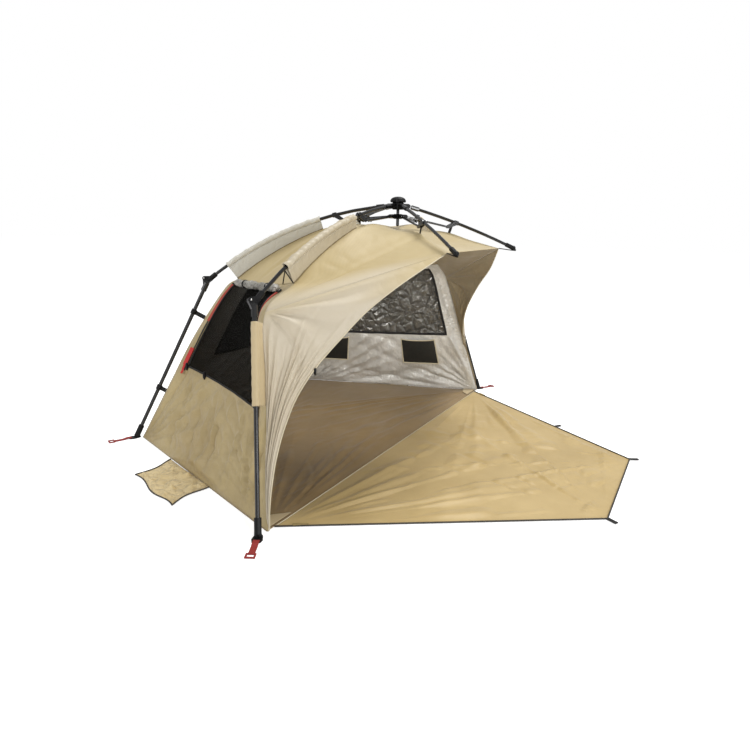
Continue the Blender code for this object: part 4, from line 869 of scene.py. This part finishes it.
for name, rib in ribs.items():
    shares = np.linspace(*SLEEVE_SHARES[rib.kind], SLEEVE_RINGS)
    centres = np.array([rib.on_arc(s) for s in shares])
    ups = np.array([rib.normal(s) for s in shares])
    depths = np.array([sleeve_depth(rib, s) for s in shares]) + 0.002
    acrosses = np.broadcast_to(rib.across, centres.shape)
    rings = teardrop(centres, ups, acrosses, depths, 0.0145, 0.0135)
    # The back sleeves take the copy of the pale cloth that carries painted light.
    sleeve("rib_sleeve_cloth_" + name, rings, "rib_sleeve_" + name, "rib_" + name,
           100 + len(name), pale if rib.kind == "front" else pale_back_painted_light,
           9 if rib.kind == "front" else 4)
    # A cord along each rib seam; its dark colour is painted shade, for the shadow between sleeve
    # and roof.
    seam = centres - ups * (depths[:, None] - 0.003)
    tube("rib_seam_" + name, seam, 0.0030, seam_shade_brown, "rib_" + name, False)

for name in ("front_left", "front_right"):
    rib = ribs[name]
    up = unit(rib.out - rib.heading * (rib.out @ rib.heading))
    across = np.cross(rib.heading, up)
    seam = smooth_line(corners[name], np.linspace(ELBOW_KEY, HEM_KEY, 300))
    centres = np.array([rib.on_leg(share) for share in np.linspace(*LEG_SLEEVE_SHARES, LEG_RINGS)])
    nearest = [seam[np.argmin(np.abs((seam - centre) @ rib.heading))] for centre in centres]
    depths = (centres - np.array(nearest)) @ up - 0.0015
    rings = teardrop(centres, np.broadcast_to(up, centres.shape),
                     np.broadcast_to(across, centres.shape), depths, 0.0150, 0.0145)
    sleeve("leg_sleeve_cloth_" + name, rings, "leg_sleeve_" + name, "leg_" + name, 120,
           strip_tan, 1)
print("sleeves done:", len(sheet_names), "sheets so far")

# %% [markdown]
# On the ground lie three sheets: the floor inside, the door panel in front of the sill, and a
# sand flap at each side. Cloth on sand is never flat, so it gets long folds that run from the
# corners that are staked, and short creases all over.

# %% Ground sheet
GROUND_LIFT = 0.0012


def quad_sheet(corner_points, rows, columns):
    """Bilinear sheet between four corners: a row blends two sides, a column the rows."""
    a, b, c, d = (np.array(p, float) for p in corner_points)
    s, t = (share[..., None] for share in shares_of((rows, columns)))
    return (a * (1 - t) + b * t) * (1 - s) + (d * (1 - t) + c * t) * s


def lifted(grid, height):
    """Heights added straight up, never below the ground."""
    out = grid.copy()
    out[..., 2] += np.maximum(height, 0)
    return out


def ground_folds(grid, seed, count, lean, fans, strength=1.0):
    """Long soft folds along one lean, a few short ones, a swell, and fans at the corners."""
    x, y = grid[..., 0], grid[..., 1]
    height = creases(x, y, count, 0.34, 0.016, 0.0042 * strength, lean, 14, seed)
    height += creases(x, y, count, 0.10, 0.010, 0.0022 * strength ** 2, lean, 50, seed + 1)
    height += unevenness(x, y, 0.45, 0.004, seed + 2)
    for corner, angles in fans:
        height += fan(x, y, corner, angles, 0.55, 0.010, 1.5, seed + 3)
    return height


floor_corners = []
for name in ("front_left", "front_right", "back_right", "back_left"):
    rib = ribs[name]
    corner = rib.foot - rib.out * INSETS[rib.kind][2]
    corner[1] = FRONT_Y + 0.001 if rib.kind == "front" else corner[1]
    floor_corners.append(corner + UP * GROUND_LIFT)
grid = quad_sheet(floor_corners, 130, 200)
left_corner, right_corner = floor_corners[0][:2], floor_corners[1][:2]
height = ground_folds(grid, 130, 40, -8, [
    (left_corner, np.linspace(3, 40, 9)), (right_corner, np.linspace(140, 177, 9))])
cloth("floor_sheet", lifted(grid, height * held_edges(grid.shape[:2], 0.02)), [sheet_brown],
      ["floor"], flip=True)

for tag, side, corner in (("left", 1, floor_corners[0]), ("right", -1, floor_corners[1])):
    start = np.array([corner[0] + side * 0.012, corner[1] + 0.006, 0.0075])
    reach = [(0, 0, 0), (side * 0.15, 0, 0), (side * 0.095, 0.055, 0), (side * 0.01, 0.075, 0)]
    cloth(f"corner_patch_{tag}", quad_sheet(start + np.array(reach), 20, 30), [strip_tan],
          flip=side > 0)
print("ground sheet done")

# %% [markdown]
# The door is a trapezium that hangs on the sill and narrows to its far edge. It is staked at
# the corners, so each corner sends out its own fan of folds.

# %% Door panel
DOOR_LENGTH = 1.105
DOOR_NEAR_HALF, DOOR_FAR_HALF = 1.105, 0.36
DOOR_NEAR, DOOR_FAR = FRONT_Y - 0.001, FRONT_Y - DOOR_LENGTH
door_corners = np.array([
    (-DOOR_NEAR_HALF, DOOR_NEAR, GROUND_LIFT), (DOOR_NEAR_HALF, DOOR_NEAR, GROUND_LIFT),
    (DOOR_FAR_HALF, DOOR_FAR, GROUND_LIFT), (-DOOR_FAR_HALF, DOOR_FAR, GROUND_LIFT)])
grid = quad_sheet(door_corners, 120, 190)
near_left, near_right, far_right, far_left = door_corners[:, :2]
height = ground_folds(grid, 140, 36, -32, [
    (near_left, np.linspace(-52, -6, 11)), (near_right, np.linspace(-174, -128, 10)),
    (far_left, np.linspace(10, 80, 6)), (far_right, np.linspace(100, 170, 6))], 0.6)
cloth("door_cloth", lifted(grid, height * held_edges(grid.shape[:2], 0.045)), [porch_tan],
      ["door_panel"], body="door", flip=True)
rim = door_corners[[0, 3, 2, 1]]
dense = np.concatenate([np.linspace(a, b, 40, endpoint=False) for a, b in zip(rim[:-1], rim[1:])]
                       + [rim[-1:]])
dense[:, 2] = 0.0035
tube("door_binding", dense, 0.0034, dark_tape, body="door")
sill = np.linspace(rim[0], rim[-1], 60)
sill[:, 1] -= 0.0035
sill[:, 2] = 0.0040
tube("sill_piping", sill, 0.0022, cream_tape, body="door")
print("ground sheet and door panel done")

# %% Sand flaps
FLAP_CENTRE_Y, FLAP_WIDTH, FLAP_DEPTH = 0.035, 0.36, 0.215
FLAP_ROWS, FLAP_COLUMNS = 50, 70


def sand_flap(side, wall):
    """Strip of cloth sewn to the wall's hem and spread outwards; its sides and its outer edge
    wander as sines of the place along it."""
    hem = wall.grid[-1][np.argsort(wall.grid[-1][:, 1])]
    s = np.linspace(0, 1, FLAP_ROWS)[:, None]
    ys = np.linspace(FLAP_CENTRE_Y - FLAP_WIDTH / 2, FLAP_CENTRE_Y + FLAP_WIDTH / 2, FLAP_COLUMNS)
    xs = np.interp(ys, hem[:, 1], hem[:, 0])
    grid = np.zeros((FLAP_ROWS, FLAP_COLUMNS, 3))
    grid[..., 0] = xs[None, :] + side * (0.002 + FLAP_DEPTH * s)
    grid[..., 1] = ys[None, :] + 0.012 * np.sin(s * 5 + ys * 9)
    grid[..., 0] += side * 0.012 * s * np.sin(ys * 23 + 1)[None, :]
    grid[..., 2] = GROUND_LIFT
    u, v = grid[..., 0], grid[..., 1]
    height = creases(u, v, 34, 0.09, 0.013, 0.0125, 90, 60, 150 + side)
    height += creases(u, v, 50, 0.04, 0.008, 0.0040, 0, 90, 155 + side)
    height += np.sin(ys * 260)[None, :] * 0.004 * np.exp(-s / 0.16)
    height += unevenness(u, v, 0.1, 0.004, 160)
    tag = "left" if side < 0 else "right"
    cloth("sand_flap_cloth_" + tag, lifted(grid, height * held_edges(u.shape, 0.03)), [flap_tan],
          ["sand_flap_" + tag], flip=True)
    edge = np.concatenate([grid[:, 0], grid[-1, 1:], grid[::-1, -1][1:]])
    edge[:, 2] = 0.0032
    tube("sand_flap_binding_" + tag, edge, 0.0030, dark_tape)


sand_flap(-1, walls["left"])
sand_flap(1, walls["right"])
print("sand flaps done")

# %% [markdown]
# Both pockets hang inside on the right wall, seen through the doorway. Each is a net bag, open
# at its mouth and edged with a cream tape.

# %% Pockets
POCKET_ROWS, POCKET_COLUMNS = 30, 40


def pocket(name, share, wall):
    """Net pouch: a patch of the wall pushed inwards by a half sine across and a straight
    fall from the mouth to its seam."""
    half = POCKET_WIDTH / 2 / float(np.linalg.norm(wall.grid[-1, 0] - wall.grid[-1, -1]))
    mouth = WINDOW_SILL - POCKET_DROP
    shares = np.linspace(share - half, share + half, POCKET_COLUMNS)
    heights = np.linspace(mouth, mouth - POCKET_HEIGHT, POCKET_ROWS)
    grid = np.zeros((POCKET_ROWS, POCKET_COLUMNS, 3))
    for column, place in enumerate(shares):
        line = np.stack([[np.interp(place, wall.columns, wall.grid[r, :, i]) for i in range(3)]
                         for r in range(len(wall.grid))])
        for axis in range(3):
            grid[:, column, axis] = np.interp(-heights, -line[:, 2], line[:, axis])
    belly = np.sin(np.linspace(0, 1, POCKET_COLUMNS) * math.pi)[None, :] ** 0.5
    inwards = 0.0022 + 0.022 * belly * np.linspace(1, 0, POCKET_ROWS)[:, None]
    grid = grid - facing_out(grid) * inwards[..., None]
    cloth(name + "_net", grid, [net_pocket], [name], thickness=NET)
    rim = np.concatenate([grid[::-1, 0], grid[0, 1:], grid[1:, -1], grid[-1, ::-1][1:-1]])
    tube(name + "_binding", rim, 0.0042, cream_tape, closed=True)


for name, share in POCKET_SHARES.items():
    pocket(name, share, walls["right"])
print("pockets done")

# %% [markdown]
# The right window is closed by its cover, a sheet of coated film that crinkles all over. It
# lies outside the net, just off the wall, and only its outward creases are kept so that it
# stays clear of the net.

# %% Window cover of the right wall, seen through its net
wall = walls["right"]
rows, columns = wall.window(2)
outward = wall.outward[rows, columns]
grid = wall.grid[rows, columns] + outward * 0.0036
u, v = flat_coordinates(grid)
height = creases(u, v, 90, 0.07, 0.008, 0.0050, 20, 40, 170)
height += creases(u, v, 160, 0.03, 0.005, 0.0030, 0, 90, 171)
grid = grid + outward * (np.maximum(height, 0) * held_edges(u.shape))[..., None]
cloth("right_window_cover_cloth", grid, [wall_tan, film],
      ["right_window_cover"])

# %% [markdown]
# The left window's cover is rolled up over it and held by two ties. A roll of film is a tube
# with a radius that is bumpy along and around; each tie draws it in, and its ends close.

# %% Rolled cover of the left window
ROLL_RADIUS, ROLL_DENTS = 0.0172, 150
ROLL_RINGS, ROLL_STEPS = 120, 41
ROLL_DROP, ROLL_LIFT = 0.014, 0.0203
MIDDLE_COLUMN = 40
TIE_SHARES = (0.22, 0.78)
STRAP_RIM_SHARE = 0.82
wall = walls["left"]
level = wall.grid[0, :, 2].min() - ROLL_DROP
row = int(np.argmin(np.abs(wall.grid[:, MIDDLE_COLUMN, 2] - level)))
inside = (wall.columns > 0.14) & (wall.columns < 0.94)
fine = np.linspace(0, 1, ROLL_RINGS)
line = resampled(wall.grid[row, inside] + wall.outward[row, inside] * ROLL_LIFT, fine)
angle = np.linspace(0, math.tau, ROLL_STEPS)
ahead = unit(np.gradient(line, axis=0))
side = unit(np.cross(ahead, UP))
over = np.cross(side, ahead)
draw = np.random.default_rng(180)
radius = np.full((ROLL_RINGS, ROLL_STEPS), ROLL_RADIUS)
for _ in range(ROLL_DENTS):
    at, turn = draw.uniform(0, 1), draw.uniform(0, math.tau)
    span, wide = draw.uniform(0.01, 0.05), draw.uniform(0.15, 0.5)
    bump = np.exp(-((fine[:, None] - at) / span) ** 2)
    arc = np.abs((angle[None, :] - turn + math.pi) % math.tau - math.pi)
    radius += draw.uniform(-0.0045, 0.0045) * bump * np.exp(-(arc / wide) ** 2)
radius[:, -1] = radius[:, 0]
ties = sum(np.exp(-((fine - share) / 0.012) ** 2) for share in TIE_SHARES)
radius = radius * (1 - 0.25 * ties[:, None]) * (1 - np.abs(2 * fine - 1) ** 30)[:, None]
grid = (line[:, None] + side[:, None] * (np.cos(angle)[None, :, None] * radius[..., None])
        + over[:, None] * (np.sin(angle)[None, :, None] * radius[..., None]))
cloth("window_cover_rolled", grid, [crinkled], ["window_cover_roll"])
for tie, share in enumerate(TIE_SHARES):
    spot = int(share * (ROLL_RINGS - 1))
    ring = (line[spot] + side[spot] * np.cos(angle[:-1])[:, None] * ROLL_RADIUS
            + over[spot] * np.sin(angle[:-1])[:, None] * ROLL_RADIUS)
    tube(f"cover_tie_{tie}", ring, 0.0028, black_web, closed=True)
knot = ribs["front_left"].below(SLEEVE_SHARES["front"][1] + 0.012, 0.010)
rim_end = wall.grid[0, int(np.argmin(np.abs(wall.columns - STRAP_RIM_SHARE)))]
for step, end in enumerate((rim_end, corners["front_left"][RIM_KEY])):
    strap = np.linspace(knot, end + wall.outward[0, 0] * 0.004, 6)
    tube(f"sleeve_strap_{step}", strap, 0.0026, black_web)
print("window covers done")

# %% [markdown]
# A window is edged with black webbing. On the left wall a zip with red tape runs down each
# side, with a black head at its top. The rear one has two red tags at its foot, and two toggles
# hang at the sill.

# %% Window bindings and zips


def wall_line(wall, row_index, column_index, lift):
    """Points of the dressed wall, lifted outwards."""
    return wall.dressed[row_index, column_index] + wall.outward[row_index, column_index] * lift


(low, high), (near, far) = WINDOW_ROWS, WINDOW_COLUMNS
rows, columns = np.arange(low, high + 1), np.arange(near, far + 1)
for name, wall in walls.items():
    rim = np.concatenate([
        wall_line(wall, low, columns, 0.001), wall_line(wall, rows[1:], far, 0.001),
        wall_line(wall, high, columns[::-1][1:], 0.001),
        wall_line(wall, rows[::-1][1:-1], near, 0.001)])
    tube(name + "_window_binding", rim, 0.0075 if name == "right" else 0.0048, black_web,
         closed=True)

wall = walls["left"]
rows = np.arange(low, high + 4)
for tag, column in (("rear", near - 2), ("front", far + 2)):
    line = wall_line(wall, rows, column, 0.0035)
    across = wall.dressed[rows, column + 1] - wall.dressed[rows, column - 1]
    half = len(line) * 5 // 9
    for part, span, width, thick, finish, slot in (
            ("tape_red", slice(3, half), 0.019, 0.003, red_tape, "red_webbing"),
            ("head", slice(0, 4), 0.022, 0.004, black_web, "black_plastic"),
            ("tape_dark", slice(half - 1, None), 0.010, 0.002, dark_tape, "black_plastic")):
        ribbon(f"zip_{part}_{tag}", line[span], across[span], width, thick, finish)
    if tag == "rear":
        for part, first, last, width, thick in (("upper", high - 8, high + 1, 0.032, 0.004),
                                                ("lower", high, high + 6, 0.017, 0.003)):
            drop = wall_line(wall, np.arange(first, last), column, 0.012)
            ribbon("zip_tag_" + part, drop, across[-1], width, thick, bright_red)
for step, column in enumerate((near, near + 16)):
    line = wall_line(wall, high, column, 0.010) + UP * np.linspace(-0.024, 0.016, 6)[:, None]
    tube(f"sill_toggle_{step}", line, [0.003, 0.007, 0.008, 0.008, 0.007, 0.003], nylon)
print("zips done")

# %% [markdown]
# Short straps tie the shell to the frame: two on each back leg and one under each awning pole,
# where the awning's corner also hooks over the tip. They ride on the frame and don't squash.

# %% Clips between the back legs and the wall
CLIP_SHARES = (0.19, 0.67)


def leg_clip(name, share, body):
    """Band round the leg with a wide black strap that reaches the corner seam."""
    rib = ribs[name]
    centre = rib.on_leg(share)
    band = np.array([centre - rib.heading * 0.012, centre + rib.heading * 0.012])
    tag = f"{name}_{int(share * 100)}"
    tube("clip_band_" + tag, band, 0.0140, nylon, body, False, 16)
    seam = smooth_line(corners[name], np.linspace(ELBOW_KEY, HEM_KEY, 200))
    target = seam[np.argmin(np.abs((seam - centre) @ rib.heading))]
    ribbon("clip_strap_" + tag, np.linspace(centre, target, 6), rib.heading, 0.022, 0.005,
           black_web, body, False)


for name in ("back_left", "back_right"):
    for share in CLIP_SHARES:
        leg_clip(name, share, "leg_" + name)
print("clips:", 2 * len(CLIP_SHARES))

# %% Straps under the awning poles
POLE_STRAP_SHARE = 0.41
for tag, arm in poles.items():
    seam = smooth_line(ridges[tag], np.linspace(0, TIP_KEY, 200))
    top = arm.below(POLE_STRAP_SHARE, 0.010)
    heading = arm.tangent(POLE_STRAP_SHARE)
    low = seam[np.argmin(np.abs((seam - top) @ heading))]
    ribbon("pole_strap_" + tag, np.linspace(top, low, 5), heading, 0.014, 0.002, black_web,
           "pole_" + tag, False)
    hook = np.array([arm.tip, arm.tip - UP * 0.012 + arm.out * 0.012, ridges[tag][-1]])
    tube("tip_hook_" + tag, smooth_line(hook, np.linspace(0, 2, 12)), 0.0025, nylon,
         "pole_" + tag, False)
print("pole straps done")

# %% [markdown]
# The door has a loop of webbing at both far corners and one on its right side, for a stake or
# for tying it up. Each lies flat and points away from the cloth.

# %% Loops of the door panel
LOOP_LENGTH, SIDE_LOOP_SHARE = 0.045, 0.40
side_place = (DOOR_FAR_HALF + (DOOR_NEAR_HALF - DOOR_FAR_HALF) * SIDE_LOOP_SHARE,
              DOOR_FAR + DOOR_LENGTH * SIDE_LOOP_SHARE)
for tag, (x, y), lean in (("near", far_left, -120), ("far", far_right, -60),
                          ("side", side_place, -34)):
    turn = math.radians(lean)
    ahead = np.array([math.cos(turn), math.sin(turn), 0])
    line = np.array([x, y, 0.004]) + ahead * np.linspace(0, LOOP_LENGTH, 6)[:, None]
    ribbon("door_loop_" + tag, line, np.cross(ahead, UP), 0.020, 0.004, black_web,
           "door")
print("door loops done")

# %% [markdown]
# Every elbow turns on a rivet. Its two heads are bright steel, and each is a short tube that
# narrows outwards, on the line through the pin.

# %% Rivet caps on the elbows
for name, rib in ribs.items():
    end = unit(rib.tip - rib.on_arc(0.93))
    outer, onward = unit(end - rib.heading), unit(end + rib.heading)
    axis = unit(np.cross(outer, onward))
    pivot = rib.tip + outer * 0.020
    for way, place in ((-1, "in"), (1, "out")):
        cap = pivot + axis * way * np.array([[0.0125], [0.0138], [0.0146]])
        tube(f"rivet_cap_{name}_{place}", cap, [0.0045, 0.0040, 0.0018], steel_cap,
             "rib_" + name, False, 16)
print("rivet caps:", 2 * len(ribs))

# %% [markdown]
# The hard parts come from the CAD as they are and only get a better finish: painted tube for
# all that is drawn from tube, red webbing for the stake straps, nylon for every moulding.

# %% Finishes on the CAD pieces that stay
PAINTED = ("rib_", "leg_", "pole_", "strut_", "hub_post")
FINISHES = ((PAINTED, tube_paint), ("zip_pull", zip_paint), ("stake_strap", red_web))
for name, item in nodes.items():
    if item.hide_render:
        continue
    finish = nylon
    for starts, other in FINISHES:
        if name.startswith(starts):
            finish = other
    item.material_slots[0].material = finish
print("CAD pieces finished")

# %% [markdown]
# The camera stands where the photograph was taken. Its place and lens come from matching the
# frame's corners to their pixels in a picture of 750 by 750.

# %% Camera
AZIMUTH, ELEVATION, ROLL = math.radians(-60.9), math.radians(14.72), math.radians(1.14)
CAMERA_PLACE = (-2.702, -1.937, 1.149)
FOCAL_PIXELS, PICTURE_PIXELS, SENSOR_MM = 586.8, 750, 36


def stand(item, side, above, back, place):
    """Puts an object in place with its x, y and z axes along the three directions."""
    rows = np.eye(4)
    rows[:3, 0], rows[:3, 1], rows[:3, 2], rows[:3, 3] = side, above, back, place
    bpy.context.scene.collection.objects.link(item)
    item.matrix_world = Matrix(rows.tolist())


back = np.array([math.sin(AZIMUTH) * math.cos(ELEVATION),
                 -math.cos(AZIMUTH) * math.cos(ELEVATION), math.sin(ELEVATION)])
level = unit(np.cross(UP, back))
upright = np.cross(back, level)
camera_data = bpy.data.cameras.new("camera")
camera_data.lens = FOCAL_PIXELS / PICTURE_PIXELS * SENSOR_MM
camera = bpy.data.objects.new("camera", camera_data)
stand(camera, level * math.cos(ROLL) + upright * math.sin(ROLL),
      upright * math.cos(ROLL) - level * math.sin(ROLL), back, CAMERA_PLACE)
bpy.context.scene.camera = camera
print("lens", round(camera_data.lens, 2), "mm")

# %% [markdown]
# A plain white studio: a floor that catches the shadow, an even white world and four soft
# lamps. The key lamp hangs high over the door, so the shadow is short. One lamp behind on the
# left and one low in front lift the left wall, and a small one under the roof lifts the silver
# inside. To the camera the world is pure white and the floor glows a little, so both blend.

# %% Floor, world and lamps
FLOOR_SIZE, FLOOR_GLOW, WORLD_LIGHT = 30.0, 0.53, 0.55


def studio_floor():
    """Square of white paper just under the ground, with a glow that only the camera sees."""
    corner_points = FLOOR_SIZE * np.array([(-1, -1, 0), (1, -1, 0), (1, 1, 0), (-1, 1, 0)])
    paper = bpy.data.materials.new("studio_white")
    tree = empty_tree(paper)
    matt = add(tree, "ShaderNodeBsdfDiffuse", Color=(0.86, 0.86, 0.86, 1))
    ray = add(tree, "ShaderNodeLightPath")
    seen = add(tree, "ShaderNodeMath", {"operation": "MULTIPLY"},
               at0=ray.outputs["Is Camera Ray"], at1=FLOOR_GLOW)
    glow = add(tree, "ShaderNodeEmission", Color=(1, 1, 1, 1), Strength=seen.outputs[0])
    both = add(tree, "ShaderNodeAddShader", at0=matt.outputs[0], at1=glow.outputs[0])
    add(tree, "ShaderNodeOutputMaterial", Surface=both.outputs[0])
    item = new_object("studio_floor", corner_points, [(0, 1, 2, 3)], [paper], smooth=False)
    item.location.z = -0.001


def studio_world():
    """World that lights the scene at WORLD_LIGHT and shows the camera plain white."""
    world = bpy.data.worlds.new("studio")
    bpy.context.scene.world = world
    tree = empty_tree(world)
    ray = add(tree, "ShaderNodeLightPath")
    level = add(tree, "ShaderNodeMix", {"data_type": "FLOAT"},
                at0=ray.outputs["Is Camera Ray"], at2=WORLD_LIGHT, at3=1.0)
    light = add(tree, "ShaderNodeBackground", Color=(1, 1, 1, 1), Strength=level.outputs[0])
    add(tree, "ShaderNodeOutputWorld", Surface=light.outputs[0])


def lamp(name, place, target, size, power):
    """Round soft lamp of a size in metres and a power in watts, turned towards its target."""
    data = bpy.data.lights.new(name, "AREA")
    data.shape = "DISK"
    data.size = size
    data.energy = power
    item = bpy.data.objects.new(name, data)
    item.visible_camera = False
    back = unit(np.array(place, float) - np.array(target, float))
    side = unit(np.cross(UP, back))
    stand(item, side, np.cross(back, side), back, place)


studio_floor()
studio_world()
lamp("key_lamp", (2.0, -1.4, 6.4), (0, -0.5, 0.3), 2.2, 265)
lamp("side_lamp", (-4.2, 2.6, 3.0), (-0.4, 0.0, 0.3), 1.6, 60)
lamp("fill_lamp", (-3.2, -4.4, 1.6), (0.2, 0.0, 0.45), 1.4, 80)
lamp("inside_lamp", (-0.30, -0.20, 0.84), (0.95, 0.1, 0.30), 0.3, 5)
bpy.context.scene.view_settings.view_transform = "Standard"
print("studio lit")
